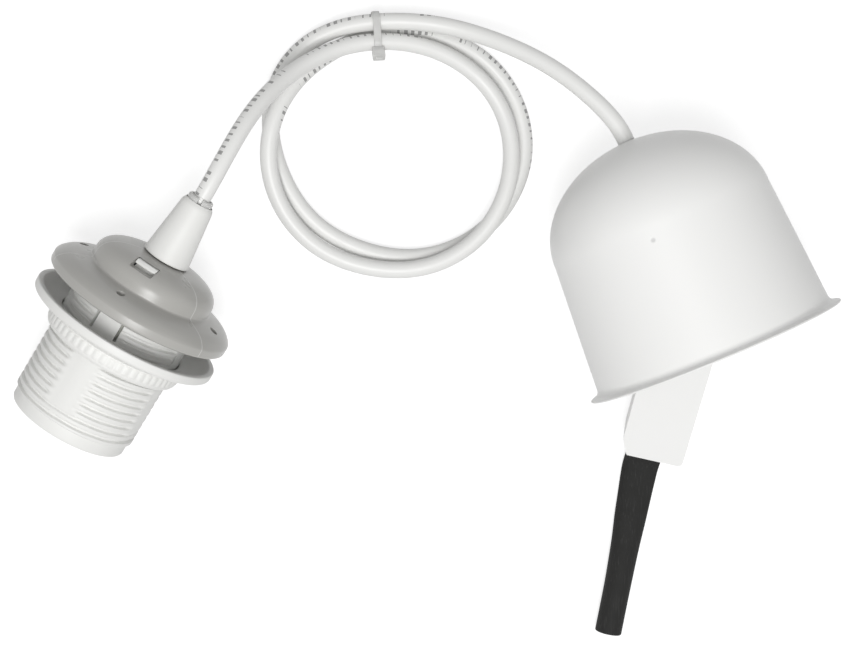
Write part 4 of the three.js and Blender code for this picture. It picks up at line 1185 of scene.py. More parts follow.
@dataclass
class PendantCord(Assembly):
    """The round cord, from the holder's grip to the rose."""

    diameter: float = 5.4
    straight: float = 6.0
    spacing: int = 16
    sides: int = 28

    def path(self, start: tuple[Vector, Vector], end: tuple[Vector, Vector]) -> list[Vector]:
        """The cord's centreline, a cubic spline over the route.

        Args:
            start: where it leaves the holder, and the way out.
            end: where it leaves the rose, and the way out.

        Returns:
            Points in millimetres, close together.
        """
        control = [start[0], start[0] + start[1] * self.straight, *(Vector(p) for p in CORD_ROUTE),
                   end[0] + end[1] * self.straight, end[0]]
        degree = 3
        spans = len(control) - degree
        knots = [0.0] * degree + [float(i) for i in range(spans + 1)] + [float(spans)] * degree
        made = []
        for step in range(spans * self.spacing + 1):
            t = step / self.spacing
            span = min(int(t), spans - 1) + degree
            points = [control[span - degree + k].copy() for k in range(degree + 1)]
            for level in range(1, degree + 1):
                for k in range(degree, level - 1, -1):
                    low = knots[span - degree + k]
                    share = (t - low) / (knots[span + 1 + k - level] - low)
                    points[k] = points[k - 1].lerp(points[k], share)
            made.append(points[degree])
        return made

    def drawn(self, name: str, points: Sequence[Sequence[float]]) -> Mesh:
        """Draws the sheath along points.

        Args:
            name: the mesh's name.
            points: the points, in order.

        Returns:
            The mesh.
        """
        line = mesh_of(name, points, edges=[(i, i + 1) for i in range(len(points) - 1)])
        sheath = self.shop.sheathing.run(
            line, self.shop.finishes[Slot.CORD_SHEATH], Radius=self.diameter / 2, Sides=self.sides)
        return mended(sheath, sharp=60)

    def build(self, path: Sequence[Vector], tie: Object) -> None:
        """Args:
            path: its centreline.
            tie: the tie that holds its loops; it is not used.
        """
        cord = self.shop.place(
            self.drawn("cord", path), "cord", TO_METRES, Slot.CORD_SHEATH, "pendant_cord")

    def tail(self, node: str, frame: Matrix, low: float, high: float) -> None:
        """Makes a tail of the cord that stays in a grip.

        Args:
            node: the CAD node that it stands for.
            frame: the part's frame.
            low: its lower end.
            high: its upper end.
        """
        steps = max(2, round((high - low) / 2))
        mesh = self.drawn(node, [(0, 0, low + (high - low) * i / steps) for i in range(steps + 1)])
        self.shop.place(mesh, node, frame, Slot.CORD_SHEATH)


@dataclass
class CableTie(Assembly):
    """The tie round the three strands, its head turned up on the nearest and its tail cut short.

    The head has a width, a length and a height, and a strand counts where it passes within the reach.
    """

    place: Sequence[float] = (-13.9, 114.2)
    heading: float = 3.0
    width: float = 2.4
    thickness: float = 0.65
    slack: float = 0.08
    reach: float = 20.0
    head: Sequence[float] = (3.9, 3.8, 3.2)
    head_turn: float = -38.0
    tail: float = 0.9
    tail_height: float = 1.0

    def frame(self) -> Matrix:
        """The tie's frame: X across the strands, Y up, Z along them.

        Returns:
            The matrix from the tie's millimetres to the row frame's metres.
        """
        h = math.radians(self.heading)
        across, along = Vector((-math.sin(h), math.cos(h), 0)), Vector((math.cos(h), math.sin(h), 0))
        return framed(across, Vector((0, 0, 1)), along, (*self.place, 0))

    def strands(self, path: Sequence[Vector]) -> list[Vector]:
        """Where the strands pass through the tie, anticlockwise.

        Args:
            path: the cord's centreline.

        Returns:
            Points in the tie's plane.
        """
        inverse = (TO_MILLIMETRES @ self.frame()).inverted()
        local = [inverse @ p for p in path]
        found = [a.lerp(b, a.z / (a.z - b.z)).to_2d() for a, b in zip(local, local[1:])
                 if a.z * b.z <= 0 and a.z != b.z and abs(b.x) < self.reach]
        middle = sum(found, Vector((0, 0))) / len(found)
        return sorted(found, key=lambda p: math.atan2(p.y - middle.y, p.x - middle.x))

    def band(self, strands: Sequence[Vector], radius: float, steps: int = 14) -> Mesh:
        """The strap: a rounded flat section round the strands.

        Args:
            strands: where the strands pass.
            radius: how far its inside stays from their middles.
            steps: its steps round each strand.

        Returns:
            The mesh.
        """
        ring = []
        for i, strand in enumerate(strands):
            into, out = strand - strands[i - 1], strands[(i + 1) % len(strands)] - strand
            a, b = (math.atan2(way.y, way.x) - math.pi / 2 for way in (into, out))
            b += math.tau if b < a else 0
            for k in range(steps + 1):
                turn = a + (b - a) * k / steps
                ring.append((strand, Vector((math.cos(turn), math.sin(turn)))))
        w, t, ease = self.width / 2, self.thickness, 0.3
        section = eased([(0, -w, ease), (t, -w, ease), (t, w, ease), (0, w, ease)], 3)
        return looped("band", [
            [(*(middle + way * (radius + out)), along) for out, along in section] for middle, way in ring])

    def build(self, path: Sequence[Vector], diameter: float) -> Object:
        """Makes the tie.

        Args:
            path: the cord's centreline.
            diameter: the cord's diameter.

        Returns:
            The piece.
        """
        strands = self.strands(path)
        radius = diameter / 2 + self.slack
        near = min(strands, key=lambda p: p.x)
        foot = -radius - self.thickness / 2
        w, l, h = self.head
        half = h / 2
        corners = [(foot - l, -half * 0.82), (foot, -half), (foot, half), (foot - l, half * 0.9)]
        head = prism("head", corners, -w / 2, w / 2, 0.45)
        low, high = h / 4 - self.tail_height / 2, h / 4 + self.tail_height / 2
        end, root = foot - l - self.tail, foot - l + 1
        tail = prism("tail", [(end, low), (root, low), (root, high), (end, high)],
                     -self.width / 2, self.width / 2, 0.15)
        for part in (head, tail):
            part.transform(Matrix.Translation((near.x, near.y, 0)) @ turn_about("Z", self.head_turn))
        mesh = joined("cable_tie", [self.band(strands, radius), head, tail])
        return self.shop.place(mesh, "cable_tie", self.frame(), Slot.FROSTED)


# The lamp holder


@dataclass
class HolderPart(Assembly):
    """A part of the lamp holder, in the holder's frame."""

    frame: Matrix


@dataclass
class HolderCap(HolderPart):
    """The grey cap: skirt, flange, dome, snap windows, vents and the neck under the cord grip."""

    wall: float = 1.8
    radius: float = 29.7
    skirt: float = 5.6
    edge_step: float = 0.5
    fall: float = 2.0
    inside: float = 48.5
    mouth: float = 20.35
    dome_bore: float = 18.15
    dome_rise: float = 8.45
    dome_lift: float = 0.9
    dome_power: float = 3.0
    cone_radius: float = 7.41
    neck_bore: float = 4.35
    neck_wall: float = 0.85
    neck_height: float = 8.0
    window_height: float = 2.5
    window_drop: float = 0.9
    window_width: float = 7.6
    window_foot: float = 9.65
    vent_diameter: float = 2.8
    vent_circle: float = 24.0
    vent_angle: float = 73.7
    vent_sides: int = 24
    segments: int = 180

    @property
    def dome_foot(self) -> float:
        """The height at which the dome begins."""
        return self.inside + self.wall + self.dome_lift

    @property
    def dome_top(self) -> float:
        """The height of the dome's flat top."""
        return self.dome_foot + self.dome_rise

    @property
    def window_top(self) -> float:
        """The height of the windows' upper edge."""
        return self.dome_top - self.window_drop

    def reach_at(self, height: float, radius: float, rise: float) -> float:
        """How far out a dome of a radius and a rise lies at a height."""
        up = min(max((height - self.dome_foot) / rise, 0.0), 1.0)
        return radius * (1 - up ** self.dome_power) ** (1 / self.dome_power)

    def dome(self, radius: float, rise: float, innermost: float, steps: int = 22) -> list[Corner]:
        """The dome's line.

        Args:
            radius: the dome's radius at its foot.
            rise: its height.
            innermost: the radius at which the line ends.
            steps: its points.

        Returns:
            The line, from the foot.
        """
        heights = [self.dome_foot + rise * math.sin(math.pi / 2 * i / steps) for i in range(steps)]
        line = [(self.reach_at(height, radius, rise), height) for height in heights]
        return [corner for corner in line if corner[0] > innermost + 0.3]

    def profile(self) -> list[Corner]:
        """The cap's section.

        Returns:
            Its corners, each with how far its rounding reaches.
        """
        foot, top = self.inside - self.skirt, self.inside + self.wall
        outer, neck = self.dome_bore + self.wall, self.neck_bore + self.neck_wall
        neck_top = self.dome_top + self.neck_height
        crease, step = top - 2 * self.fall, self.edge_step
        return [
            (self.radius - self.wall, foot, 0.25), (self.radius - step, foot, 0.3),
            (self.radius, foot + step, 0.3), (self.radius, crease - step, 0.3),
            (self.radius - step, crease + step / 2, 0.4),
            (self.radius - self.wall, top - self.fall - step, 0.8),
            (self.radius - 2 * self.wall, top - 0.75 * self.fall, 1.5), (outer + 0.6, top, 0.6),
            (outer, top + 0.4, 0.25),
            *self.dome(outer, self.dome_rise, self.cone_radius), (self.cone_radius - 1, self.dome_top),
            (neck, self.dome_top, 0.2), (neck, neck_top, 0.2), (self.neck_bore, neck_top),
            (self.neck_bore, self.dome_top - self.wall),
            *self.dome(self.dome_bore, self.dome_rise - self.wall, self.neck_bore)[::-1],
            (self.dome_bore, self.inside, 0.3), (self.mouth, self.inside, 0.3),
            (self.radius - 1.3 * self.wall, self.inside - self.fall, 0.4),
            (self.radius - self.wall, self.inside - 1.4 * self.fall, 0.3)]

    def build(self) -> None:
        """Makes the cap."""
        mesh = self.shop.turned("cap", self.profile(), Slot.CAP_GREY, self.segments)
        r = self.vent_diameter / 2
        turns = [math.tau * i / self.vent_sides for i in range(self.vent_sides)]
        vent = prism("vent", [(self.vent_circle + r * math.cos(a), r * math.sin(a)) for a in turns],
                     self.inside - self.fall - 2, self.dome_top)
        near, far, w = self.window_foot, self.dome_bore + self.wall + 1, self.window_width / 2
        window = prism("window", [(near, -w), (far, -w), (far, w), (near, w)],
                       self.window_top - self.window_height, self.window_top, 0.3)
        for shape, count in ((vent, 4), (window, 2)):
            cutter = added("cutter", shape)
            mesh = self.shop.cutting.run(
                mesh, self.shop.finishes[Slot.CAP_GREY], Cutter=cutter, Count=count,
                First_Angle=math.radians(self.vent_angle))
            bpy.data.objects.remove(cutter)
        self.shop.place(mended(mesh), "holder_cap", self.frame, Slot.CAP_GREY)


@dataclass
class ThreadedSleeve(HolderPart):
    """The holder's outer sleeve, with its thread, smooth panels, slits and snap tongues.

    The ledge inside has a height, a thickness and a reach, and the panels' angles are in degrees.
    """

    cap: HolderCap
    crest: float = 19.75
    depth: float = 0.9
    pitch: float = 2.5
    groove_mouth: float = 1.5
    groove_root: float = 0.5
    wall: float = 1.95
    lip: float = 4.0
    height: float = 48.2
    neck_step: float = 1.9
    neck_height: float = 2.4
    ledge: Sequence[float] = (13.0, 1.6, 2.3)
    panel_angle: float = 73.7
    panel_count: int = 4
    panel_span: float = 24.8
    panel_drop: float = 0.3
    panel_fade: float = 8.0
    slit_width: float = 0.9
    slit_place: float = 34.6
    tongue_width: float = 7.0
    tongue_thickness: float = 1.2
    nose_height: float = 1.6
    nose_reach: float = 1.4
    row: float = 0.22
    columns: int = 168

    @property
    def root(self) -> float:
        """The radius at the bottom of the thread."""
        return self.crest - self.depth

    @property
    def bore(self) -> float:
        """The radius inside."""
        return self.root - self.wall

    @property
    def neck(self) -> float:
        """The radius of the neck that the cap sits on."""
        return self.crest - self.neck_step

    @property
    def neck_top(self) -> float:
        """The height of the neck's top."""
        return self.height + self.neck_height

    def inside(self, height: float) -> float:
        """The inner radius at a height, with the ledge that carries the insert.

        Args:
            height: the height.

        Returns:
            The radius.
        """
        foot, thickness, reach = self.ledge
        on_ledge = foot <= height <= foot + thickness
        return self.bore - on_ledge * reach * min(1.0, 2 * (height - foot) / thickness + 0.05)

    def rows(self) -> list[tuple[float, float, float, float]]:
        """The rows of the wall from the lip to the neck.

        Returns:
            For each, its outer radius and height, and its inner radius and height.
        """
        root, bore, crest, neck = self.root, self.bore, self.crest, self.neck
        lip, top = self.lip, self.height
        first, last = lip + 0.5, top - 0.3
        count = round((last - lip - 0.5) / self.row)
        thread = [first + (last - lip - 0.5) * i / count for i in range(1, count + 1)]
        return [
            (root - 0.5, 0.0, bore + 0.4, 0.0), (root - 0.22, 0.08, bore + 0.15, 0.12),
            *((root, z, bore, z) for z in (0.5, 1.2, 2.1, 3.0, 3.7, lip)),
            (crest - 0.25, lip + 0.25, bore, lip + 0.2), (crest, first, bore, first),
            *((crest, z, self.inside(z), z) for z in thread),
            (crest - 0.1, top - 0.08, bore, top - 0.15), (crest - 0.4, top, bore, top),
            (neck + 0.15, top + 0.02, bore, top + 0.15), (neck, top + 0.2, bore, top + 0.3),
            (neck, top + 1.2, bore, top + 1.2), (neck, self.neck_top - 0.3, bore, self.neck_top - 0.2),
            (neck - 0.25, self.neck_top, bore + 0.1, self.neck_top)]

    def tongue(self, angle: float) -> Mesh:
        """A springy tongue that runs on from the neck and ends in a nose in the cap's window.

        Args:
            angle: where it stands, in degrees.

        Returns:
            The mesh.
        """
        cap, t, reach, nose = self.cap, self.tongue_thickness, self.nose_reach, self.nose_height
        sill, top = cap.window_top - cap.window_height + GAP, cap.window_top - 0.5 * GAP
        strip = cap.reach_at(sill, cap.dome_bore, cap.dome_rise - cap.wall) - 2 * GAP
        root = math.sqrt(self.neck ** 2 - (self.tongue_width / 2) ** 2) - 0.05
        outline = [
            (root - t, self.neck_top - 2), (root, self.neck_top - 2), (root, cap.dome_foot),
            (root - 0.3, cap.dome_foot + 1.6), (strip - 0.4, sill), (strip - 0.6, top - nose - 0.1),
            (strip + reach, top - 0.85 * nose), (strip + reach, top - 0.5 * nose),
            (strip + 0.5 * reach, top), (strip - t, top), (strip - t, sill - 0.5),
            (root - t, cap.dome_foot - 0.6)]
        mesh = prism("tongue", outline, -self.tongue_width / 2, self.tongue_width / 2, 0.18)
        mesh.transform(turn_about("Z", angle) @ turn_about("X", 90))
        return mesh

    def build(self) -> None:
        """Makes the sleeve."""
        slits = [(self.panel_angle + 360 / self.panel_count * i + side * self.panel_span / 2) % 360
                 for i in range(self.panel_count) for side in (-1, 1)]
        wall = slotted_wall("sleeve", self.rows(), self.columns, slits,
                            math.degrees(self.slit_width / 2 / self.root), self.slit_place)
        cut = self.shop.threading.run(
            wall, self.shop.finishes[Slot.HOLDER_WHITE], Pitch=self.pitch,
            First_Groove=self.lip + self.pitch / 2, Depth=self.depth, Groove_Mouth=self.groove_mouth,
            Groove_Root=self.groove_root, Lowest=self.lip + 0.3, Highest=self.height - 0.05,
            Panel_Count=float(self.panel_count), Panel_Angle=self.panel_angle, Panel_Span=self.panel_span,
            Panel_Drop=self.panel_drop, Panel_Start=self.lip + self.pitch, Panel_Fade=self.panel_fade)
        tongues = [self.tongue(self.panel_angle + 180 * i) for i in range(2)]
        mesh = joined("sleeve", [mended(cut, sharp=50), *tongues])
        self.shop.place(mesh, "threaded_sleeve", self.frame, Slot.HOLDER_WHITE)


@dataclass
class ShadeRing(HolderPart):
    """The ring that clamps a shade: a knurled collar under a dished web and a rim."""

    bore: float = 20.05
    place: float = 26.3
    radius: float = 30.1
    rim: float = 2.5
    collar_wall: float = 2.15
    collar_height: float = 4.7
    dish_height: float = 10.35
    web: float = 1.6
    knurls: int = 54
    knurl_depth: float = 0.3
    knurl_height: float = 3.2
    knurl_gap: float = 0.2
    knurl_steps: int = 8

    def profile(self) -> list[Corner]:
        """The ring's section, with rows enough for the knurls.

        Returns:
            Its corners, each with how far its rounding reaches.
        """
        collar = self.bore + self.collar_wall
        top, rim_top = self.place + self.collar_height, self.place + self.dish_height
        rim_foot = rim_top - self.rim
        middle = (collar + self.radius) / 2
        base = collar - self.knurl_depth
        low = top - self.knurl_gap - self.knurl_height
        rows = [(base, low + share * self.knurl_height)
                for share in (0.0, 0.03, 0.06, 0.1, 0.3, 0.5, 0.7, 0.9, 0.94, 0.97, 1.0)]
        return [
            (self.bore, self.place, 0.25), (collar - 0.9, self.place, 0.3), (base, self.place + 0.9, 0.3),
            *rows, (base, top, 0.15), (collar + 0.9, top + 0.6, 0.6), (middle, top + 1.7, 1.5),
            (self.radius - 0.6, rim_foot - 0.5, 0.5), (self.radius, rim_foot + 0.1, 0.4),
            (self.radius, rim_top, 0.5), (self.radius - 1.65, rim_top, 0.4),
            (middle, top + 1.7 + self.web, 2.0), (collar + 0.3, top + 0.5 + self.web, 1.0),
            (self.bore, top + 0.3 + self.web, 0.3)]

    def build(self) -> None:
        """Makes the ring."""
        steps = self.knurls * self.knurl_steps
        body = self.shop.turned("ring", self.profile(), Slot.HOLDER_WHITE, steps)
        top = self.place + self.collar_height - self.knurl_gap
        ribbed = self.shop.knurling.run(
            body, self.shop.finishes[Slot.HOLDER_WHITE], Count=float(self.knurls), Depth=self.knurl_depth,
            Lowest=top - self.knurl_height, Highest=top, Least_Radius=self.bore + 1.0)
        self.shop.place(mended(ribbed, sharp=40), "shade_ring", self.frame, Slot.HOLDER_WHITE)


@dataclass
class CordGrip(HolderPart):
    """The tapered nut on the cap, and the split collet that it closes on the cord."""

    foot: float = 59.95
    height: float = 19.9
    base_radius: float = 7.41
    top_radius: float = 5.15
    shoulder: float = 1.2
    socket: float = 5.5
    socket_top: float = 67.95
    bore: float = 4.35
    collet_bore: float = 3.0
    collet_wall: float = 1.05
    collet_foot: float = 62.0
    collet_reach: float = 1.6
    slit: float = 1.4
    slit_angles: Sequence[float] = (90.0, 270.0)
    slit_rise: float = 4.0
    collet_rows: Sequence[float] = (64.0, 66.0, 70.0, 75.0)
    segments: int = 96
    columns: int = 64

    def build(self) -> None:
        """Makes the nut and the collet."""
        top = self.foot + self.height
        cone = self.shop.turned("cone", [
            (self.socket, self.foot, 0.2), (self.base_radius, self.foot, 0.35),
            (self.top_radius, top - self.shoulder, 0.9), (self.top_radius - 0.75, top, 0.6),
            (self.bore, top, 0.15), (self.bore, self.socket_top + 1.2), (self.socket, self.socket_top, 0.2),
        ], Slot.HOLDER_WHITE, self.segments)
        collet_top = top + self.collet_reach
        inner, outer = self.collet_bore, self.collet_bore + self.collet_wall
        heights = (self.collet_foot, *self.collet_rows, top - 1, top, top + 0.8, collet_top - 0.6)
        rows = [(outer, z, inner, z) for z in heights]
        rows += [(outer - 0.12, collet_top - 0.25, inner, collet_top - 0.25),
                 (outer - 0.4, collet_top, inner + 0.08, collet_top)]
        half = math.degrees(self.slit / 2 / outer)
        collet = mended(slotted_wall(
            "collet", rows, self.columns, self.slit_angles, half, self.collet_foot + self.slit_rise))
        self.shop.place(cone, "cord_grip_cone", self.frame, Slot.HOLDER_WHITE)
        self.shop.place(collet, "cord_grip_collet", self.frame, Slot.FROSTED)


@dataclass
class LampSocket(HolderPart):
    """The screw shell that takes the lamp, and the pieces round it."""

    radius: float = 13.9
    sheet: float = 0.4
    wave: float = 1.2
    pitch: float = 3.63
    place: float = 16.2
    floor: float = 34.2
    floor_hole: float = 8.0
    steps: int = 74
    columns: int = 96

    def build(self) -> None:
        """Makes the shell, and softens or dresses what is round it."""
        r, t, foot, top = self.radius, self.sheet, self.place, self.floor
        heights = [foot + (top - 0.5 - foot) * i / self.steps for i in range(self.steps + 1)]
        rows = [(r, z, r - t, z) for z in heights]
        rows += [(r - 0.12, top - 0.15, r - t, top - t - 0.05), (r - 0.5, top, r - t - 0.5, top - t),
                 (self.floor_hole, top, self.floor_hole, top - t)]
        wall = slotted_wall("shell", rows, self.columns, both=True)
        shell = mended(self.shop.threading.run(
            wall, self.shop.finishes[Slot.BRASS], Pitch=self.pitch, First_Groove=foot + self.pitch / 2,
            Depth=self.wave, Groove_Mouth=self.pitch, Groove_Root=0.0, Lowest=foot - 1,
            Highest=top - self.pitch, Panel_Count=1.0, Panel_Angle=0.0, Panel_Span=-20.0,
            Panel_Drop=0.0, Panel_Start=0.0, Panel_Fade=0.0), sharp=60)
        self.shop.place(shell, "screw_shell", self.frame, Slot.BRASS)
        self.shop.soften({
            "holder_insert": Slot.IVORY, "centre_contact": Slot.BRASS, "side_contact": Slot.BRASS,
            "holder_clamp_live": Slot.BRASS, "holder_clamp_neutral": Slot.BRASS,
            "holder_clamp_screw_live": Slot.STEEL, "holder_clamp_screw_neutral": Slot.STEEL})
        self.shop.keep({"holder_lead_live": Slot.BROWN_WIRE, "holder_lead_neutral": Slot.BLUE_WIRE})


@dataclass
class LampHolder(Assembly):
    """The whole lamp holder."""

    cord: PendantCord
    place: Sequence[float] = (-110.5, -5.58, 23.967)
    heading: float = 59.1
    rise: float = 9.6
    exit: float = 81.75
    tail_foot: float = 58.3

    @property
    def frame(self) -> Matrix:
        """The holder's frame."""
        return axis_frame(self.place, self.heading, self.rise)

    def cord_exit(self) -> tuple[Vector, Vector]:
        """Where the cord leaves, in millimetres, and the way out."""
        return cord_exit(self.frame, self.exit)

    def build(self) -> None:
        """Makes the holder."""
        cap = HolderCap(self.shop, self.frame)
        ThreadedSleeve(self.shop, self.frame, cap).build()
        ShadeRing(self.shop, self.frame).build()
        cap.build()
        CordGrip(self.shop, self.frame).build()
        LampSocket(self.shop, self.frame).build()
        self.cord.tail("holder_cord_tail", self.frame, self.tail_foot, self.exit)


# The rose and what hangs out of it


@dataclass
class CeilingRose(Assembly):
    """The domed rose with its thin rim, and the fittings inside it.

    The dome's lines end short of the hole and of the boss, each at an angle in degrees.
    """

    cord: PendantCord
    place: Sequence[float] = (88.0, 15.19, 41.091)
    heading: float = 112.3
    lean: float = 7.76
    wall: float = 1.6
    rim_radius: float = 41.43
    rim_thickness: float = 1.0
    rim_edge: float = 0.3
    foot_radius: float = 38.37
    shoulder_radius: float = 35.44
    shoulder: float = 42.8
    dome_rise: float = 27.66
    outer_end: float = 84.5
    inner_end: float = 78.0
    boss_height: float = 10.0
    bush_bore: float = 4.7
    boss_wall: float = 1.6
    bush_height: float = 6.4
    hole: float = 3.0
    tail: float = 36.0
    exit_gap: float = 0.3
    segments: int = 220

    @property
    def frame(self) -> Matrix:
        """The rose's frame."""
        return axis_frame(self.place, self.heading, -self.lean)

    @property
    def top(self) -> float:
        """The height of the dome's top."""
        return self.shoulder + self.dome_rise

    def cord_exit(self) -> tuple[Vector, Vector]:
        """Where the cord leaves, in millimetres, and the way out."""
        return cord_exit(self.frame, self.top + self.exit_gap)

    def arc(self, radius: float, rise: float, start: float, end: float, steps: int) -> list[Corner]:
        """A part of the line of a dome of a radius and a rise, from one angle in degrees to another."""
        turns = [math.radians(start + (end - start) * i / steps) for i in range(steps + 1)]
        return [(radius * math.cos(a), self.shoulder + rise * math.sin(a)) for a in turns]

    def profile(self) -> list[Corner]:
        """The rose's section.

        Returns:
            Its corners, each with how far its rounding reaches.
        """
        boss, foot = self.bush_bore + self.boss_wall, self.top - self.boss_height
        seat = foot + self.bush_height + 2 * GAP
        inner_radius, inner_rise = self.shoulder_radius - self.wall, self.dome_rise - self.wall
        meets = self.shoulder + inner_rise * math.sqrt(1 - (boss / inner_radius) ** 2)
        return [
            (self.foot_radius - self.wall + 0.4, 0, 0.3), (self.rim_radius - 0.2, 0, 0.1),
            (self.rim_radius, self.rim_edge, 0.15), (self.rim_radius - 0.2, 2 * self.rim_edge, 0.15),
            (self.foot_radius + 0.9, self.rim_thickness + 0.15, 0.8),
            (self.foot_radius - 0.05, self.rim_thickness + 1.2, 0.8),
            *self.arc(self.shoulder_radius, self.dome_rise, 0, self.outer_end, 44),
            (self.hole, self.top, 0.3), (self.hole, seat), (self.bush_bore, seat), (self.bush_bore, foot),
            (boss, foot, 0.3), (boss, meets, 0.4),
            *self.arc(inner_radius, inner_rise, self.inner_end, 0, 30),
            (self.foot_radius - self.wall, self.rim_thickness)]

    def build(self) -> None:
        """Makes the rose and its fittings."""
        mesh = self.shop.turned("rose", self.profile(), Slot.ROSE_WHITE, self.segments)
        self.shop.place(mesh, "ceiling_rose", self.frame, Slot.ROSE_WHITE)
        self.shop.soften({
            "rose_grip_bush": Slot.FROSTED, "hanging_plate": Slot.IVORY, "cord_saddle": Slot.IVORY,
            "saddle_screw_1": Slot.STEEL, "saddle_screw_2": Slot.STEEL})
        self.cord.tail("rose_cord_tail", self.frame, self.top - self.tail, self.top + self.exit_gap)
        self.shop.keep({"rose_lead_live": Slot.BROWN_WIRE, "rose_lead_neutral": Slot.BLUE_WIRE})


@dataclass
class TerminalBox(Assembly):
    """The white terminal box that comes out of the rose, resting on the lowest corner of its end.

    The place is where the middle of that end stands, the mouth is the middle of the tube's opening in the
    box's own frame, and the bevel is what one corner loses of the end and of the side.
    """

    place: Sequence[float] = (78.6, -18.84)
    heading: float = -95.8
    dip: float = 30.6
    roll: float = -13.0
    width: float = 20.8
    length: float = 46.0
    mouth: Sequence[float] = (1.7, 46.0, 6.05)
    corner: float = 1.5
    bevel: Sequence[float] = (2.0, 6.0)

    @property
    def frame(self) -> Matrix:
        """The box's frame: X across, Y out along it, Z away from its lid.

        Returns:
            The matrix from the box's millimetres to the row frame's metres.
        """
        matrix = turn_about("Z", self.heading - 90) @ turn_about("X", -self.dip)
        matrix = matrix @ turn_about("Y", -self.roll)
        end = matrix @ Vector((0, self.length, 0))
        half, cut = self.width / 2, 0.3 * self.corner
        feet = [(half, self.length - self.bevel[1]), (half - self.bevel[0], self.length - 1),
                (self.corner - half, self.length), (cut - half, self.length - cut),
                (-half, self.length - self.corner)]
        lowest = min((matrix @ Vector((x, y, 0))).z for x, y in feet)
        matrix.translation = Vector((self.place[0] - end.x, self.place[1] - end.y, -lowest))
        return TO_METRES @ matrix

    @property
    def lean(self) -> float:
        """How far the mouth leans to one side, in radians."""
        return math.radians(self.roll) * math.cos(math.radians(self.dip))

    def tube_mouth(self) -> Vector:
        """The middle of the tube's opening, in millimetres."""
        return (self.frame @ Vector(self.mouth)) / MM

    def build(self) -> None:
        """Makes the box and dresses what is in it."""
        self.shop.soften({"terminal_box_base": Slot.ROSE_WHITE}, 0.35)
        self.shop.soften({"terminal_box_lid": Slot.ROSE_WHITE}, 0.3)
        self.shop.soften({"terminal_strip": Slot.IVORY})
        self.shop.keep({f"terminal_barrel_{i}": Slot.BRASS for i in (1, 2)})
        self.shop.keep({f"terminal_screw_{i}": Slot.STEEL for i in (1, 2, 3, 4)})


@dataclass
class HeatTube(Assembly):
    """The black heat-proof tube: pressed flat in the box's mouth, round at its free end.

    The mouth is the middle of the box's opening, and the lean is how far it leans, in radians. The flat is
    how wide and how high the tube is pressed there, and past the opened share of its length it is round.
    """

    mouth: Vector
    lean: float
    diameter: float = 8.8
    wall: float = 0.9
    heading: float = -101.0
    length: float = 65.0
    inside: float = 3.0
    flat: Sequence[float] = (12.0, 4.2)
    fall: float = 8.0
    ripple: float = 0.018
    opened: float = 0.75
    ease: float = 0.25
    steps: int = 90
    sides: int = 56

    def build(self) -> None:
        """Makes the tube."""
        outer = self.diameter / 2
        inner, ease = outer - self.wall, self.ease
        along = [-self.inside + self.length * i / self.steps for i in range(self.steps + 1)]
        rings = [(inner, a) for a in along[::-1]]
        rings += [(inner + ease, along[0]), (outer - ease, along[0])]
        rings += [(outer, a) for a in [along[0] + ease, *along[1:-1], along[-1] - ease]]
        rings += [(outer - ease, along[-1])]
        turns = [math.tau * k / self.sides for k in range(self.sides)]
        mesh = looped("tube", [[self.bent(radius * math.cos(a), run, radius * math.sin(a)) for a in turns]
                               for radius, run in rings])
        turn = turn_about("Z", self.heading - 90)
        turn.translation = Vector((self.mouth.x, self.mouth.y, 0))
        self.shop.place(mesh, "heat_tube", TO_METRES @ turn, Slot.BLACK_TUBE)

    def lying(self, wide: float, high: float, twist: float) -> float:
        """How high the middle of a stretched, pressed and turned section lies above the floor."""
        return self.diameter / 2 * math.hypot(wide * math.sin(twist), high * math.cos(twist))

    def bent(self, x: float, along: float, z: float) -> tuple[float, float, float]:
        """Presses, turns and bends a point of the straight tube.

        Args:
            x: its place across.
            along: its place along the tube.
            z: its height from the tube's middle.

        Returns:
            The point as it lies.
        """
        t = min(max(along / (self.opened * self.length), 0.0), 1.0)
        opened = t * t * (3 - 2 * t)
        flat_wide, flat_high = (size / self.diameter for size in self.flat)
        wide, high = (flat * (1 - opened) + opened for flat in (flat_wide, flat_high))
        left = 1 - along / self.fall
        fall = 2 * left - 1 if left > 1 else max(left, 0.0) ** 2
        twist = self.lean * (1 - opened)
        middle = self.lying(wide, high, twist) + (
            self.mouth.z - self.lying(flat_wide, flat_high, self.lean)) * fall
        ripple = 1 + self.ripple * noise.noise(Vector((x * 0.2, along * 0.11, z * 0.2 + 7)))
        x, z = x * wide * ripple, z * high
        return (x * math.cos(twist) - z * math.sin(twist), along,
                x * math.sin(twist) + z * math.cos(twist) + middle)


# The studio


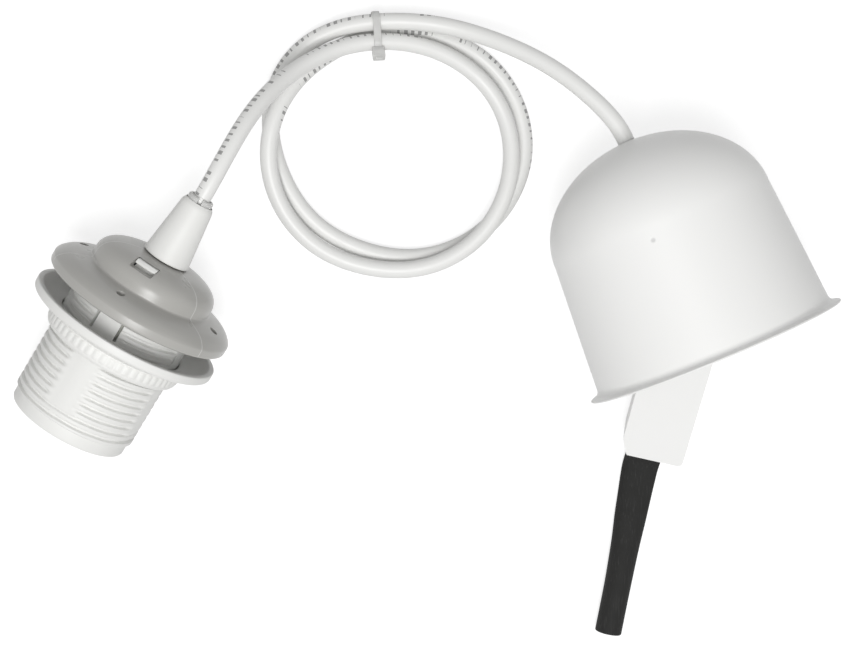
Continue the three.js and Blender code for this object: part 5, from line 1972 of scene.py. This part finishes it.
@dataclass
class Studio:
    """The floor, the soft light and the camera.

    The camera's sizes are in millimetres and its tilt in radians, and the floor and the lamp are in metres.
    """

    aim: Sequence[float] = (-0.5, 23.5, 25.0)
    distance: float = 600.0
    lens: float = 81.55
    tilt: Sequence[float] = (-0.133, 0.098)
    floor_size: float = 6.0
    floor_tone: float = 0.5
    floor_lift: float = 0.68
    world_level: float = 0.46
    key_power: float = 10.4
    key_place: Sequence[float] = (-0.16, -0.3, 1.28)
    key_size: float = 0.6

    def camera(self) -> None:
        """Makes the camera at the photograph's viewing angle."""
        data = bpy.data.cameras.new("camera")
        data.lens = self.lens
        data.sensor_width = 36.0
        data.clip_start, data.clip_end = 0.05, 20.0
        back = Vector((math.sin(self.tilt[0]), math.sin(self.tilt[1]), 1)).normalized()
        right = Vector((0, 1, 0)).cross(back).normalized()
        matrix = Matrix((right, back.cross(right), back)).transposed().to_4x4()
        matrix.translation = (Vector(self.aim) + back * self.distance) * MM
        bpy.context.scene.camera = added("camera", data)
        bpy.context.scene.camera.matrix_world = matrix

    def floor(self) -> None:
        """Makes the pale floor, which looks white and keeps the shadow."""
        half = self.floor_size / 2
        mesh = mesh_of("floor", [(-half, -half, 0), (half, -half, 0), (half, half, 0), (-half, half, 0)],
                       [(0, 1, 2, 3)])
        material = bpy.data.materials.new("pale_floor")
        sheet = NodeSheet(emptied(material))
        shader = sheet.term("ShaderNodeBsdfPrincipled", {
            "Base Color": (self.floor_tone,) * 3 + (1,), "Roughness": 0.9, "Specular IOR Level": 0.0,
            "Emission Color": (1, 1, 1, 1), "Emission Strength": self.seen(sheet) * self.floor_lift})
        sheet.node("ShaderNodeOutputMaterial", {"Surface": shader})
        mesh.materials.append(material)
        added("floor", mesh)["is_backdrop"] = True

    def seen(self, sheet: NodeSheet) -> Term:
        """Whether a ray comes from the camera, a mirror or glass.

        Args:
            sheet: the sheet that asks.

        Returns:
            1 where it does.
        """
        rays = sheet.node("ShaderNodeLightPath").outputs
        either = sheet.math("MAXIMUM", rays["Is Camera Ray"], rays["Is Glossy Ray"])
        return either.do("MAXIMUM", rays["Is Transmission Ray"])

    def world(self) -> None:
        """Makes the world: white where it is seen, and a plain level of light elsewhere."""
        world = bpy.data.worlds.new("studio")
        sheet = NodeSheet(emptied(world))
        strength = self.seen(sheet) * (1.0 - self.world_level) + self.world_level
        back = sheet.term("ShaderNodeBackground", {"Color": (1, 1, 1, 1), "Strength": strength})
        sheet.node("ShaderNodeOutputWorld", {"Surface": back})
        bpy.context.scene.world = world

    def lamp(self) -> None:
        """Makes the soft lamp, which points at the object's middle."""
        data = bpy.data.lights.new("key", "AREA")
        data.shape, data.size, data.energy = "DISK", self.key_size, self.key_power
        lamp = added("key", data)
        lamp.location = self.key_place
        aim = Vector(self.aim) * MM - Vector(self.key_place)
        lamp.rotation_euler = aim.to_track_quat("-Z", "Y").to_euler()

    def build(self) -> None:
        """Makes the studio."""
        self.camera()
        self.floor()
        self.world()
        self.lamp()
        bpy.context.scene.view_settings.view_transform = "Standard"


def main() -> None:
    """Builds the set in order, and logs each piece's face count as it is placed."""
    logging.basicConfig(level=logging.INFO, format="%(name)s: %(message)s")
    shop = Workshop()
    Studio().build()
    cord, tie, box = PendantCord(shop), CableTie(shop), TerminalBox(shop)
    holder, rose = LampHolder(shop, cord), CeilingRose(shop, cord)
    path = cord.path(holder.cord_exit(), rose.cord_exit())
    cord.build(path, tie.build(path, cord.diameter))
    for assembly in (holder, rose, box, HeatTube(shop, box.tube_mouth(), box.lean)):
        assembly.build()


if __name__ == "__main__":
    main()
